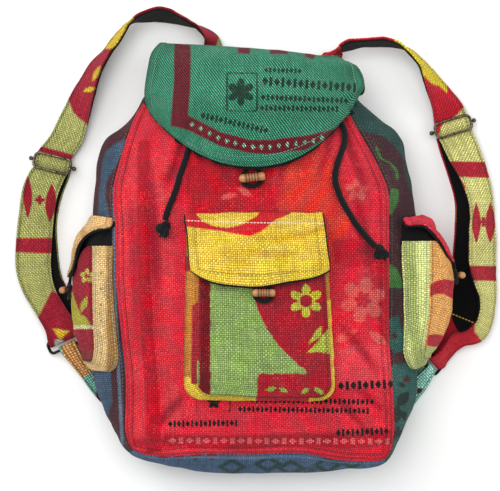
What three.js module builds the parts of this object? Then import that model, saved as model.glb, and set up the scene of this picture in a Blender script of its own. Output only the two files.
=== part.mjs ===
// A backpack sewn from rice sacks, lying on its back.
// Millimetres. X runs across the bag, Y towards its mouth and Z up. The back panel lies on Z = 0,
// with the middle of the back at the origin.

import * as THREE from "three";
import { mergeVertices } from "three/addons/utils/BufferGeometryUtils.js";

// Cloth
const SACKING = 2.2;
const LINING = 1.2;
const GAP = 0.35; // between pieces that touch

// Bag
const BACK_THICKNESS = 2.4;
const GUSSET_START = 3.0; // height of the seam with the back panel
const SPINE_HEIGHT = 52; // height of the middle of the filling
const STEPS_PER_STATION = 3;
const GUSSET_STEPS = 5;
const MOUTH_ARCH = 18;
const GATHERS = 5;
const GATHER_DEPTH = 3.2;
const MOUTH_DRAWN_IN = 0.2; // of the swell of a side pocket

// Hardware
const WIRE = 2.6;
const SLIDER = { length: 40, height: 18, corner: 6, level: 11.6, barLevel: 7, ball: 2.3 };
const RING = { length: 40, height: 15, corner: 5 };
const RING_WIRE = 3;
const SLIDER_BAR = 2.4;
const STRAP_LEVEL = { wire: 6, bar: 9.9 }; // where the strap passes under the frame and over the bar
const CORD = 6;
const LOOP_CORD = 4.4;
const TOGGLE = { length: 25, radius: 4 };
const SMALL_TOGGLE = { length: 22, radius: 3.6 };
const SIDE_LOOP_CORD = 3.2;
const SIDE_LOOP_REACH = 11.5;
const ON_CLOTH = 1; // how far a cord lies above the cloth it rests on

// Colour and finish of each cloth and each piece of hardware.
const LOOK = {
  red: { color: 0xd8283a, roughness: 0.9, metalness: 0 },
  green: { color: 0x3f9a72, roughness: 0.9, metalness: 0 },
  blue: { color: 0x4f6f8a, roughness: 0.9, metalness: 0 },
  maroon: { color: 0x5e1a2a, roughness: 0.9, metalness: 0 },
  yellow: { color: 0xf0cd3c, roughness: 0.9, metalness: 0 },
  ochre: { color: 0xd9962e, roughness: 0.9, metalness: 0 },
  crimson: { color: 0xa5162c, roughness: 0.9, metalness: 0 },
  tan: { color: 0xd8ae69, roughness: 0.9, metalness: 0 },
  lime: { color: 0xc3c765, roughness: 0.9, metalness: 0 },
  orange: { color: 0xeba04c, roughness: 0.9, metalness: 0 },
  teal: { color: 0x64bfae, roughness: 0.9, metalness: 0 },
  black: { color: 0x101114, roughness: 0.95, metalness: 0 },
  wood: { color: 0xb87f4c, roughness: 0.55, metalness: 0 },
  bronze: { color: 0x6d5f4e, roughness: 0.35, metalness: 1 },
  steel: { color: 0x3c3a38, roughness: 0.35, metalness: 1 },
};

function table(columns, rows) {
  const names = columns.split(" ");
  return rows.map((row) => Object.fromEntries(names.map((name, n) => [name, row[n]])));
}

// The bag's outline, from the left end of the mouth down the left side, round the bottom and up again:
// where the gusset is widest, where it meets the front panel, and where it meets the back panel.
const OUTLINE = table("widestX widestY widestZ seamX seamY seamZ backX backY", [
  [-97, 191, 36, -87, 187, 62, -88, 200],
  [-109, 168, 40, -100, 168, 79, -100, 174],
  [-124, 140.5, 44, -115, 146, 90, -113, 148],
  [-148.5, 124, 46, -124, 121, 99, -134, 124],
  [-157, 100, 46, -131, 97, 103, -144, 99],
  [-159.5, 72, 46, -137, 70, 105, -148, 71],
  [-162, 37, 46, -135, 36, 106, -150, 37],
  [-162, -18, 46, -134, -17, 107, -150, -18],
  [-162, -73, 46, -129, -70, 106, -150, -72],
  [-161, -113, 45, -125, -109, 104, -149, -109],
  [-153, -141, 44, -125, -139, 102, -143, -137],
  [-139, -170, 42, -125, -166, 100, -131, -163],
  [-125, -191, 42, -118, -182, 99, -117, -183],
  [-94, -202, 42, -95, -189, 98, -90, -193],
  [-54, -210, 42, -53, -187, 98, -52, -200],
  [-4, -213, 42, -4, -187, 98, -4, -202],
  [46, -211, 42, 45, -186, 98, 44, -201],
  [91, -208, 42, 86, -193, 98, 88, -196],
  [134, -199.5, 42, 124, -190, 99, 126, -186],
  [150, -177, 42, 137, -168, 100, 141, -165],
  [158, -149, 44, 136, -141, 102, 149, -141],
  [164, -118, 45, 134, -112, 104, 153, -112],
  [165, -73, 46, 131, -70, 106, 153, -72],
  [165, -18, 46, 131, -17, 107, 153, -18],
  [163.5, 41, 46, 131, 39, 106, 151, 40],
  [158.5, 74, 46, 130, 70, 105, 147, 71],
  [152.5, 99, 46, 119, 97, 103, 141, 98],
  [147, 124, 46, 106, 121, 99, 130, 124],
  [124, 145.5, 44, 94, 145, 90, 108, 150],
  [99, 168, 40, 87, 167, 79, 91, 174],
  [83, 191, 36, 73, 187, 62, 78, 200],
]);
const STATIONS = (OUTLINE.length - 1) * STEPS_PER_STATION;
const LEFT_CORNER = 12 * STEPS_PER_STATION;
const RIGHT_CORNER = 18 * STEPS_PER_STATION;

// How far the front panel swells above the straight line between its seams, from the bottom to the mouth.
const FRONT_SWELL = table("y rise", [
  [-190, 0],
  [-176, 9],
  [-150, 17],
  [-110, 20],
  [-40, 20],
  [30, 21],
  [85, 22],
  [125, 20],
  [160, 13],
  [190, 5],
]);

// The top flap from its seam on the back panel, over the mouth and down the front.
const TOP_FLAP = table("leftX leftY leftZ midX midY midZ rightX rightY rightZ", [
  [-84, 200, 4.4, -5, 201, 4.4, 76, 201, 4.4],
  [-91, 212, 22, -5, 210, 24, 84, 207, 22],
  [-94, 219, 46, -5, 213, 52, 85, 206, 42],
  [-101, 208, 66, -5, 210, 80, 94, 198, 58],
  [-104, 192, 79, -5, 201, 99, 103, 193, 68],
  [-106, 178, 86, -5, 183, 113, 107, 183, 76],
  [-107, 164, 91, -5, 160, 125, 108, 172, 84],
  [-105, 153, 96, -4, 135, 136, 103, 163, 92],
  [-101, 145, 101, -3, 112, 143, 98, 154, 100],
  [-96, 138, 104, 3, 91, 146, 93, 147, 104],
]);

// Pocket flap, from its seam on the front panel to its edge.
const POCKET_FLAP = table("leftX leftY leftZ midX midY midZ rightX rightY rightZ", [
  [-66, 47, 135.5, 0, 48, 141, 65, 48, 137],
  [-65, 39, 145, 0, 40, 150, 66, 39, 146],
  [-63, 29, 154, 0, 29, 161, 67, 29, 155],
  [-62, 14, 156, 2, 13, 164, 69, 12, 156],
  [-61, 1, 156, 3, -3, 164.5, 71, -2, 156],
  [-60, -7, 156, 4, -21, 164, 71, -7, 156],
]);

// Side pocket flaps, from the gusset outwards over the pocket's mouth: the upper edge shows from above.
const LEFT_FLAP = table("leftX leftY leftZ midX midY midZ rightX rightY rightZ", [
  [-163, 42, 28, -165, 46, 60, -142, 42, 102],
  [-165, 39, 24, -170.5, 39, 64, -150, 39, 104],
  [-167.5, 30, 24, -177, 28, 64, -158, 30, 98],
  [-173, 15, 28, -180.5, 13, 60, -167.5, 14, 86],
  [-179, -1, 34, -183, -3, 56, -175, -2, 75],
  [-183, -14, 41, -184.5, -15, 52, -181.5, -14, 62],
]);
const RIGHT_FLAP = table("leftX leftY leftZ midX midY midZ rightX rightY rightZ", [
  [166, 44, 30, 168, 47, 60, 146, 44, 97],
  [169, 41, 24, 176, 42, 64, 156, 43, 104],
  [171, 31, 24, 182.5, 31, 64, 166, 34, 99],
  [178, 20, 27, 189, 20, 60, 181, 23, 91],
  [189, 9, 34, 195.5, 9, 56, 192, 10, 77],
  [198.5, 1, 41, 200, 0, 52, 197.5, 1, 64],
]);

// Straps above the sliders. The inner edge is the one towards the bag where the strap lies flat.
const STRAP_COLUMNS = "innerX innerY innerZ outerX outerY outerZ";
const LEFT_UPPER = table(STRAP_COLUMNS, [
  [-56, 200.8, 1.9, -29, 200.8, 1.9],
  [-55, 210, 4, -30, 210, 2.2],
  [-52, 220, 7, -32, 219, 3],
  [-51, 228, 22, -38, 229, 4],
  [-60, 238, 33, -52, 238, 4],
  [-76, 248, 36, -75, 243, 4],
  [-94, 255, 37, -96, 246, 4],
  [-111, 251, 37, -112, 246, 4],
  [-124, 241, 36, -125, 245, 4],
  [-132.5, 227, 35, -140, 232.5, 4],
  [-145.5, 208.5, 34, -152, 217, 4],
  [-155, 189.5, 32, -166, 202, 4],
  [-160.5, 171, 27, -179, 183, 4],
  [-164.5, 155, 21, -188, 167, 5],
  [-169.5, 138, 13, -198, 149, 5],
  [-175, 122, 8, -206.5, 131.5, 6],
]);
const LEFT_LOWER = table(STRAP_COLUMNS, [
  [-194, 83, 8, -229, 92, 8],
  [-200, 68, 8, -236, 76, 8],
  [-204, 46, 8, -240, 50, 8],
  [-206, 20, 8, -243, 20, 8],
  [-207, -7, 8, -243, -9, 8],
  [-203, -27, 9, -235.5, -32, 9],
  [-193, -45, 10, -223, -53, 10],
  [-183, -60, 11, -212.5, -71.5, 11],
]);
const LEFT_RETURN = table(STRAP_COLUMNS, [
  [-180, -52, 3, -212, -66, 3],
  [-188, -34, 3, -223, -47, 3],
  [-197, -15, 3, -232, -22, 3],
  [-201, 12, 3, -238, 10, 3],
  [-202, 40, 3, -238, 41, 3],
  [-197, 66, 3, -232, 74, 3],
  [-190, 85, 3, -225, 94, 3],
  [-187, 95, 3, -222, 104, 3],
]);
const RIGHT_UPPER = table(STRAP_COLUMNS, [
  [84, 200.8, 1.9, 58, 200.8, 1.9],
  [89, 207, 3.4, 66, 206, 2.2],
  [91, 213, 8, 70, 211, 3],
  [88, 218, 25, 82, 213, 4],
  [94, 222, 35, 98, 217, 4],
  [105, 223.5, 35, 111, 220.5, 4],
  [119, 224, 35, 122, 220.5, 4],
  [132, 224.5, 35, 135, 220.5, 4],
  [145, 220.5, 35, 149, 219.5, 4],
  [157.5, 209.5, 34, 162, 214, 4],
  [167, 197, 33, 175.5, 202, 4],
  [171.5, 182, 30, 189.5, 187, 4],
  [177, 167, 23, 202.5, 173, 5],
  [181, 156, 14, 212.5, 161, 6],
]);
const RIGHT_LOWER = table(STRAP_COLUMNS, [
  [193, 117, 9, 227, 125, 8],
  [199, 103, 13, 233, 109, 7],
  [207, 88, 18, 238, 93, 6],
  [213, 73, 24, 242, 75, 5],
  [218, 52, 26, 244.5, 53, 5],
  [217, 27, 27, 246.5, 27, 5],
  [217, 0, 28, 246.5, -2, 5],
  [221, -19, 30, 246.5, -23, 6],
  [227, -37, 31, 245.5, -42, 7],
  [227, -53, 30, 242.5, -61, 8],
  [221, -65, 24, 235.5, -77, 9],
  [211, -71, 18, 225.5, -83.5, 9],
  [202, -73, 18, 214.5, -85.5, 9],
  [194, -82, 22, 204, -92.5, 7],
  [187, -91, 27, 196.5, -101.5, 6],
]);
const RIGHT_RETURN = table(STRAP_COLUMNS, [
  [181, -84, 23, 192, -97, 3],
  [187, -73, 14, 205, -92, 3],
  [194, -60, 5, 222, -80, 3],
  [200, -43, 3, 232, -56, 3],
  [203, -22, 3, 237, -25, 3],
  [204, 6, 3, 240, 6, 3],
  [206, 34, 3, 242, 36, 3],
  [206, 62, 3, 241, 68, 3],
  [199, 88, 3, 234, 97, 3],
  [191, 112, 3, 226, 123, 3],
  [187, 126, 3, 222, 137, 3],
]);

// Where the sliders lie and which way their long side runs, in degrees.
const LEFT_SLIDER = { x: -206, y: 100.5, turn: -14, side: 1 };
const RIGHT_SLIDER = { x: 203.5, y: 138, turn: 17, side: -1 };

// The ends of each ring's upper long side, where the strap folds over it.
const LEFT_RING = { inner: [-180, -69.5, 7], outer: [-210, -83, 7], way: [0.36, -0.93, 0], side: 1 };
const RIGHT_RING = { inner: [180, -93, 26], outer: [191.5, -105, 5], way: [-0.6, -0.8, 0], side: -1 };
const RING_FOLD = 3.9; // from the wire's middle to the middle of the strap
const TAB_FOLD = 2.85;
const TAB_CLOTH = 1.8;

// Cloth tabs from the lower corners of the bag to the rings: the upper layer's middle.
const LEFT_TAB = table(STRAP_COLUMNS, [
  [-149, -136, 3.8, -157.5, -143.5, 3.8],
  [-157, -126, 5.5, -166.5, -132.5, 5.5],
  [-168, -110, 8, -178.5, -115.5, 8],
]);
const RIGHT_TAB = table(STRAP_COLUMNS, [
  [153, -139, 3.8, 163, -148, 3.8],
  [158, -130, 7, 169, -140, 5.5],
  [164, -119, 13, 176, -130, 7.5],
]);

// Drawcord ends, seen from above: from under the flap to the knots. Their height follows the panel.
const LEFT_DRAWCORD = [
  [-47, 142],
  [-53, 135.5],
  [-57.5, 128.5],
  [-60, 120.5],
  [-62, 112.5],
  [-64, 104.5],
  [-66, 97],
  [-68.5, 90],
  [-71, 83],
  [-73, 75.5],
  [-75.5, 68],
  [-78.5, 60],
  [-82, 52],
  [-84, 46],
  [-85, 41],
];
const RIGHT_DRAWCORD = [
  [74, 152],
  [79, 145],
  [83, 137.5],
  [86.5, 130],
  [88, 122.5],
  [87, 115],
  [84.5, 107.5],
  [81.5, 100],
  [79, 92],
  [77.5, 84],
  [78, 76],
  [81, 66.5],
  [85, 57.5],
  [91, 47.5],
  [97, 38],
  [102.5, 31],
  [108.5, 24],
  [116, 16],
];

const MAIN_TOGGLE = { x: -2, y: 81, turn: 6 };
const POCKET_TOGGLE = { x: 9, y: -28, turn: 0 };
const LEFT_TOGGLE = { y: -28, z: 51 };
const RIGHT_TOGGLE = { y: -13, z: 54 };

// Curves and surfaces

function curveOf(rows, x, y, z) {
  const points = rows.map((row) => new THREE.Vector3(row[x], row[y], row[z]));
  return new THREE.CatmullRomCurve3(points, false, "centripetal");
}

function lookUp(rows, key, value, at) {
  const last = rows.length - 1;
  if (at <= rows[0][key]) return rows[0][value];
  if (at >= rows[last][key]) return rows[last][value];
  const n = rows.findIndex((row) => row[key] > at);
  const share = (at - rows[n - 1][key]) / (rows[n][key] - rows[n - 1][key]);
  const eased = share * share * (3 - 2 * share);
  return THREE.MathUtils.lerp(rows[n - 1][value], rows[n][value], (share + eased) / 2);
}

const range = (count) => Array.from({ length: count }, (_, n) => n);

// The direction from the middle of the filling, so that pieces that share a seam meet there.
function outwardFrom(nearest) {
  return (point) => point.clone().sub(nearest(point)).normalize();
}

function boxSpine(low, high) {
  const box = new THREE.Box3(new THREE.Vector3(...low), new THREE.Vector3(...high));
  return outwardFrom((point) => box.clampPoint(point, new THREE.Vector3()));
}

function bagSpine(point) {
  const y = THREE.MathUtils.clamp(point.y, -150, 186);
  const half = THREE.MathUtils.lerp(104, 40, THREE.MathUtils.smoothstep(y, 90, 186));
  return new THREE.Vector3(THREE.MathUtils.clamp(point.x, -half, half), y, SPINE_HEIGHT);
}
const bagOutward = outwardFrom(bagSpine);

// A closed sheet between two grids of points, one on each face of the cloth.
function sheetBetween(face, back) {
  const rows = face.length;
  const columns = face[0].length;
  const points = [...face.flat(), ...back.flat()];
  const index = [];
  const other = rows * columns;
  const at = (row, column) => row * columns + column;
  const quad = (a, b, c, d) => index.push(a, b, c, a, c, d);
  for (let r = 0; r < rows - 1; r++) {
    for (let c = 0; c < columns - 1; c++) {
      quad(at(r, c), at(r, c + 1), at(r + 1, c + 1), at(r + 1, c));
      quad(other + at(r, c), other + at(r + 1, c), other + at(r + 1, c + 1), other + at(r, c + 1));
    }
  }
  const rim = [
    ...range(columns - 1).map((c) => at(0, c)),
    ...range(rows - 1).map((r) => at(r, columns - 1)),
    ...range(columns - 1).map((c) => at(rows - 1, columns - 1 - c)),
    ...range(rows - 1).map((r) => at(rows - 1 - r, 0)),
  ];
  rim.forEach((a, n) => {
    const b = rim[(n + 1) % rim.length];
    quad(b, a, other + a, other + b);
  });
  const geometry = new THREE.BufferGeometry().setFromPoints(points).setIndex(index);
  return facingOut(geometry);
}

function signedVolume(geometry) {
  const position = geometry.getAttribute("position");
  const index = geometry.index.array;
  const corner = (n) => new THREE.Vector3().fromBufferAttribute(position, index[n]);
  let total = 0;
  for (let n = 0; n < index.length; n += 3) {
    total += corner(n).dot(corner(n + 1).cross(corner(n + 2)));
  }
  return total / 6;
}

function facingOut(geometry) {
  if (signedVolume(geometry) < 0) {
    const index = Array.from(geometry.index.array);
    for (let n = 0; n < index.length; n += 3) {
      [index[n + 1], index[n + 2]] = [index[n + 2], index[n + 1]];
    }
    geometry.setIndex(index);
  }
  return geometry;
}

function thickened(grid, outward, thickness) {
  const behind = (point) => point.clone().addScaledVector(outward(point), -thickness);
  return sheetBetween(
    grid,
    grid.map((row) => row.map(behind)),
  );
}

// Points on a surface that fills the space between four edges. Each edge is a list of points.
function fillEdges(bottom, top, left, right) {
  const across = bottom.length - 1;
  const up = left.length - 1;
  return range(up + 1).map((r) =>
    range(across + 1).map((c) => {
      const s = c / across;
      const t = r / up;
      const point = new THREE.Vector3();
      point.addScaledVector(bottom[c], 1 - t).addScaledVector(top[c], t);
      point.addScaledVector(left[r], 1 - s).addScaledVector(right[r], s);
      point.addScaledVector(bottom[0], -(1 - s) * (1 - t)).addScaledVector(bottom[across], -s * (1 - t));
      point.addScaledVector(top[0], -(1 - s) * t).addScaledVector(top[across], -s * t);
      return point;
    }),
  );
}

// Where a line along one axis meets a grid of points: u and v are the other two axes.
function heightOn(grid, u, v, h, atU, atV) {
  let best;
  let nearest = Infinity;
  for (let r = 0; r < grid.length - 1; r++) {
    for (let c = 0; c < grid[0].length - 1; c++) {
      const cell = [grid[r][c], grid[r][c + 1], grid[r + 1][c + 1], grid[r + 1][c]];
      for (const [a, b, d] of [
        [cell[0], cell[1], cell[2]],
        [cell[0], cell[2], cell[3]],
      ]) {
        const area = (b[u] - a[u]) * (d[v] - a[v]) - (d[u] - a[u]) * (b[v] - a[v]);
        if (Math.abs(area) < 1e-6) continue;
        const q = ((b[u] - atU) * (d[v] - atV) - (d[u] - atU) * (b[v] - atV)) / area;
        const w = ((d[u] - atU) * (a[v] - atV) - (a[u] - atU) * (d[v] - atV)) / area;
        const miss = Math.max(0, -q, -w, q + w - 1);
        if (miss < nearest) {
          nearest = miss;
          best = q * a[h] + w * b[h] + (1 - q - w) * d[h];
        }
      }
    }
  }
  return best;
}

// Bag

const widestCurve = curveOf(OUTLINE, "widestX", "widestY", "widestZ");
const seamCurve = curveOf(OUTLINE, "seamX", "seamY", "seamZ");
const backCurve = curveOf(
  OUTLINE.map((row) => ({ ...row, backZ: GUSSET_START })),
  "backX",
  "backY",
  "backZ",
);

// A point of the gusset: along is the station, down runs from the front seam to the back seam.
function gussetPoint(along, down) {
  const t = along / STATIONS;
  return new THREE.Vector3()
    .addScaledVector(seamCurve.getPoint(t), 2 * (down - 0.5) * (down - 1))
    .addScaledVector(widestCurve.getPoint(t), 4 * down * (1 - down))
    .addScaledVector(backCurve.getPoint(t), 2 * down * (down - 0.5));
}

function gussetGrid(from, to) {
  const edge = 0.03; // in stations, so that neighbours keep their gap
  const top = 0.004;
  return range(to - from + 1).map((n) => {
    const along = THREE.MathUtils.clamp(from + n, from + edge, to - edge);
    return range(GUSSET_STEPS + 1).map((k) => gussetPoint(along, Math.max(k / GUSSET_STEPS, top)));
  });
}

function gathers(x, y) {
  const near = THREE.MathUtils.smoothstep(y, 120, 187);
  return near * GATHER_DEPTH * Math.sin(((x + 7) / 165) * 2 * Math.PI * GATHERS);
}

// Soft hollows and ridges of the front panel: a long upright fold left of the pocket, drawn-in places
// where the cords leave the hem, and puckers above the lower right corner.
function frontFolds(x, y) {
  const bell = (distance, width) => Math.exp(-((distance / width) ** 2));
  const upright = THREE.MathUtils.smoothstep(y, -185, -150) * (1 - THREE.MathUtils.smoothstep(y, 60, 120));
  const fold = -3.5 * upright * bell(x + 84, 11) + 2 * upright * bell(x + 104, 10);
  const drawn = -3 * bell(x + 60, 16) * bell(y - 128, 26) - 3 * bell(x - 86, 16) * bell(y - 132, 26);
  const pucker = 2 * Math.sin((x + 0.5 * y) / 9) * bell(x - 96, 40) * bell(y + 166, 14);
  return fold + drawn + pucker;
}

function frontGrid() {
  const seam = range(STATIONS + 1).map((n) => seamCurve.getPoint(n / STATIONS));
  const left = seam.slice(0, LEFT_CORNER + 1).reverse();
  const bottom = seam.slice(LEFT_CORNER, RIGHT_CORNER + 1);
  const right = seam.slice(RIGHT_CORNER);
  const across = bottom.length - 1;
  const mouth = range(across + 1).map((c) => {
    const s = c / across;
    const point = seam[0].clone().lerp(seam[STATIONS], s);
    const arch = Math.sin(Math.PI * s);
    point.y += 5 * arch;
    point.z += MOUTH_ARCH * arch ** 0.7;
    return point;
  });
  const grid = fillEdges(bottom, mouth, left, right);
  return grid.map((row, r) =>
    row.map((point, c) => {
      const s = c / across;
      const rise = lookUp(FRONT_SWELL, "y", "rise", point.y);
      const inner = 1 - Math.abs(2 * s - 1) ** 2.4;
      const edge = r === 0 ? 0 : inner;
      const relief = gathers(point.x, point.y) + frontFolds(point.x, point.y);
      point.z += edge * rise + Math.min(1, 4 * edge) * relief;
      return point;
    }),
  );
}

// Draws the outermost points of a grid in a little, so that the piece keeps its gap at the seams.
function drawnIn(grid, distance) {
  const rows = grid.length - 1;
  const columns = grid[0].length - 1;
  const step = (from, to) => to.clone().sub(from).setLength(distance);
  return grid.map((row, r) =>
    row.map((point, c) => {
      const moved = point.clone();
      if (c === 0) moved.add(step(point, row[1]));
      if (c === columns) moved.add(step(point, row[columns - 1]));
      if (r === 0) moved.add(step(point, grid[1][c]));
      if (r === rows) moved.add(step(point, grid[rows - 1][c]));
      return moved;
    }),
  );
}

const frontSurface = frontGrid();
const frontHeight = (x, y) => heightOn(frontSurface, "x", "y", "z", x, y);

function backPanel() {
  const outline = range(STATIONS + 1).map((n) => backCurve.getPoint(n / STATIONS));
  const shape = new THREE.Shape(outline.map((point) => new THREE.Vector2(point.x, point.y)));
  return new THREE.ExtrudeGeometry(shape, { depth: BACK_THICKNESS, bevelEnabled: false });
}

// Flaps

function flapGrid(rows, steps, across, roundness) {
  const left = curveOf(rows, "leftX", "leftY", "leftZ");
  const mid = curveOf(rows, "midX", "midY", "midZ");
  const right = curveOf(rows, "rightX", "rightY", "rightZ");
  return range(steps + 1).map((n) => {
    const t = n / steps;
    const a = left.getPoint(t);
    const b = right.getPoint(t);
    const swell = mid.getPoint(t).sub(a.clone().lerp(b, 0.5));
    return range(across + 1).map((c) => {
      const s = c / across;
      const share = 1 - Math.abs(2 * s - 1) ** roundness;
      return a.clone().lerp(b, s).addScaledVector(swell, share);
    });
  });
}

// Keeps the top flap clear of the drawcords, which run between it and the front panel.
function lifted(grid) {
  const room = CORD + ON_CLOTH + GAP + LINING + GAP + SACKING + 2;
  return grid.map((row) =>
    row.map((point) => {
      const above = point.z - frontHeight(point.x, point.y);
      const share = THREE.MathUtils.smoothstep(188 - point.y, 0, 10);
      return point.setZ(point.z + share * Math.max(0, room - above));
    }),
  );
}

function gridNormals(grid) {
  const rows = grid.length - 1;
  const columns = grid[0].length - 1;
  return grid.map((row, r) =>
    row.map((_, c) => {
      const along = grid[Math.min(r + 1, rows)][c].clone().sub(grid[Math.max(r - 1, 0)][c]);
      const over = row[Math.min(c + 1, columns)].clone().sub(row[Math.max(c - 1, 0)]);
      return along.cross(over).normalize();
    }),
  );
}

// One layer of a sheet: near and far are its faces' distances from the grid, along side times the normal.
function layer(grid, near, far, side = 1) {
  const normals = gridNormals(grid);
  const offset = (distance) =>
    grid.map((row, r) => row.map((point, c) => point.clone().addScaledVector(normals[r][c], side * distance)));
  return sheetBetween(offset(near), offset(far));
}

// Pockets

// A U with round lower corners, in shares of the pocket's width and depth: across from -1 to 1 and down
// from 0 to 1.
function pocketOutline(width, depth, corner, sideSteps, bottomSteps) {
  const half = width / 2;
  const turn = Math.PI / 4;
  const left = new THREE.Path();
  left.moveTo(-half, 0);
  left.lineTo(-half, depth - corner);
  left.absarc(-half + corner, depth - corner, corner, Math.PI, Math.PI - turn, true);
  const bottom = new THREE.Path();
  bottom.absarc(-half + corner, depth - corner, corner, Math.PI - turn, Math.PI / 2, true);
  bottom.lineTo(half - corner, depth);
  bottom.absarc(half - corner, depth - corner, corner, Math.PI / 2, turn, true);
  const right = new THREE.Path();
  right.absarc(half - corner, depth - corner, corner, turn, 0, true);
  right.lineTo(half, 0);
  const unit = (point) => new THREE.Vector3(point.x / half, point.y / depth, 0);
  return {
    left: left.getSpacedPoints(sideSteps).map(unit),
    bottom: bottom.getSpacedPoints(bottomSteps).map(unit),
    right: right.getSpacedPoints(sideSteps).map(unit),
  };
}

function pocketPieces(outline, base, face, outward, strip) {
  const path = [...outline.left, ...outline.bottom.slice(1), ...outline.right.slice(1)];
  const gusset = path.map((place) => {
    const low = base(place.x, place.y);
    const high = face(place.x, place.y);
    const push = outward(low.clone().lerp(high, 0.5));
    return range(strip.steps + 1).map((k) => {
      const share = Math.min(k / strip.steps, 1 - GAP / low.distanceTo(high));
      return low.clone().lerp(high, share).addScaledVector(push, strip.bulge * 4 * share * (1 - share));
    });
  });
  const mouth = range(outline.bottom.length).map((n) => {
    const share = n / (outline.bottom.length - 1);
    return outline.left[0].clone().lerp(outline.right[outline.right.length - 1], share);
  });
  const filled = fillEdges(outline.bottom, mouth, [...outline.left].reverse(), outline.right);
  const panel = filled.map((row) => row.map((place) => face(place.x, place.y)));
  return {
    gusset: thickened(gusset, outward, SACKING),
    face: thickened(drawnIn(panel, GAP), outward, SACKING),
    panel,
  };
}

const blend = THREE.MathUtils.lerp;

// The front pocket stands on the front panel. Its left side leans, so more of that gusset shows.
function frontPocket() {
  const outline = pocketOutline(136, 168, 16, 10, 8);
  const base = (a, b) => {
    const x = blend(blend(-65, 68, (a + 1) / 2), blend(-68, 78, (a + 1) / 2), b);
    const y = blend(34, -132, b);
    return new THREE.Vector3(x, y, frontHeight(x, y) + 1.2);
  };
  const face = (a, b) => {
    const x = blend(blend(-52, 65, (a + 1) / 2), blend(-55, 74.5, (a + 1) / 2), b);
    const y = blend(27, -126, b);
    const crown = 5 * (1 - a * a) * (1 - b ** 4);
    const height = blend(148.5, 139, b ** 4);
    return new THREE.Vector3(x, y, height + crown);
  };
  const outward = boxSpine([-36, -108, 133], [56, 30, 137]);
  return pocketPieces(outline, base, face, outward, { steps: 2, bulge: 1.5 });
}

// A side pocket hangs on a gusset: across runs from its lower edge to its upper edge.
function sidePocket(shape, host) {
  const outline = pocketOutline(80, 122, 22, 8, 6);
  const base = (a, b) => {
    const z = blend(shape.lowZ, shape.highZ, (a + 1) / 2);
    const y = blend(shape.mouthY, shape.footY, b);
    return new THREE.Vector3(heightOn(host, "y", "z", "x", y, z) + shape.side * 2.7, y, z);
  };
  const face = (a, b) => {
    const share = (a + 1) / 2;
    const slant = shape.slant * THREE.MathUtils.smoothstep(0.9 - a, 0, 1) * (1 - b);
    const full = (1 - b ** 3 * 0.8) * (1 - MOUTH_DRAWN_IN * (1 - b) ** 6);
    const out = blend(shape.faceLowX, shape.faceHighX, share) + shape.swell * (1 - a * a) * full;
    const drawn = shape.drawnIn * b ** 4;
    const z = blend(shape.faceLowZ, shape.faceHighZ, share);
    const y = blend(shape.mouthY, shape.footY + 9, b) - slant;
    return new THREE.Vector3(shape.side * (out - drawn), y, blend(z, blend(z, 60, 0.3), b ** 4));
  };
  const spine = shape.side * shape.spineX;
  const outward = boxSpine([spine, shape.footY + 26, 48], [spine, 40, 54]);
  return pocketPieces(outline, base, face, outward, { steps: 2, bulge: 2 });
}

const LEFT_POCKET = {
  side: -1,
  lowZ: 24,
  highZ: 99,
  mouthY: 16,
  footY: -108,
  faceLowX: 176,
  faceHighX: 158,
  faceLowZ: 27,
  faceHighZ: 93,
  swell: 14,
  drawnIn: 3,
  slant: 26,
  spineX: 161,
};
const RIGHT_POCKET = {
  side: 1,
  lowZ: 24,
  highZ: 90,
  mouthY: 21,
  footY: -106,
  faceLowX: 184,
  faceHighX: 172,
  faceLowZ: 27,
  faceHighZ: 95,
  swell: 21,
  drawnIn: 10,
  slant: 16,
  spineX: 164,
};

// Straps

const vector = (values) => new THREE.Vector3(...values);

function sliderRows(slider, level) {
  const turn = slider.turn * (Math.PI / 180);
  const along = new THREE.Vector3(Math.cos(turn), Math.sin(turn), 0);
  const down = new THREE.Vector3(-along.y, along.x, 0).multiplyScalar(-1);
  const middle = new THREE.Vector3(slider.x, slider.y, 0);
  const reach = SLIDER.height / 2 - WIRE / 2;
  return [
    [-reach, level.wire],
    [0, level.bar],
    [reach, level.wire],
  ].map(([offset, z]) => {
    const centre = middle.clone().addScaledVector(down, offset).setZ(z);
    return {
      inner: centre.clone().addScaledVector(along, 17.5 * slider.side),
      outer: centre.clone().addScaledVector(along, -17.5 * slider.side),
    };
  });
}

function edgeRows(rows) {
  return rows.map((row) => ({
    inner: new THREE.Vector3(row.innerX, row.innerY, row.innerZ),
    outer: new THREE.Vector3(row.outerX, row.outerY, row.outerZ),
  }));
}

// Half a turn round a wire, from over it to under it. way points along the cloth where it arrives.
function foldRows(inner, outer, way, radius, side) {
  const axis = inner.clone().sub(outer).normalize();
  const along = way.clone().addScaledVector(axis, -way.dot(axis)).normalize();
  const over = along.clone().cross(axis).multiplyScalar(side);
  return range(5).map((n) => {
    const angle = (n / 4) * Math.PI;
    const shift = over.clone().multiplyScalar(radius * Math.cos(angle));
    shift.addScaledVector(along, radius * Math.sin(angle));
    return { inner: inner.clone().add(shift), outer: outer.clone().add(shift) };
  });
}

// A grid along the strip, with the print side where side times the normal points.
function stripGrid(rows, stepsPerRow, across) {
  const inner = new THREE.CatmullRomCurve3(rows.map((row) => row.inner), false, "centripetal");
  const outer = new THREE.CatmullRomCurve3(rows.map((row) => row.outer), false, "centripetal");
  const steps = (rows.length - 1) * stepsPerRow;
  return range(steps + 1).map((n) => {
    const a = inner.getPoint(n / steps);
    const b = outer.getPoint(n / steps);
    return range(across + 1).map((c) => a.clone().lerp(b, c / across));
  });
}

function strapPieces(rows, side) {
  const grid = stripGrid(rows, 2, 1);
  return {
    cloth: layer(grid, 0.18, 0.18 + 1.8, side),
    lining: layer(grid, -0.18, -0.18 - LINING, side),
  };
}

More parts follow.
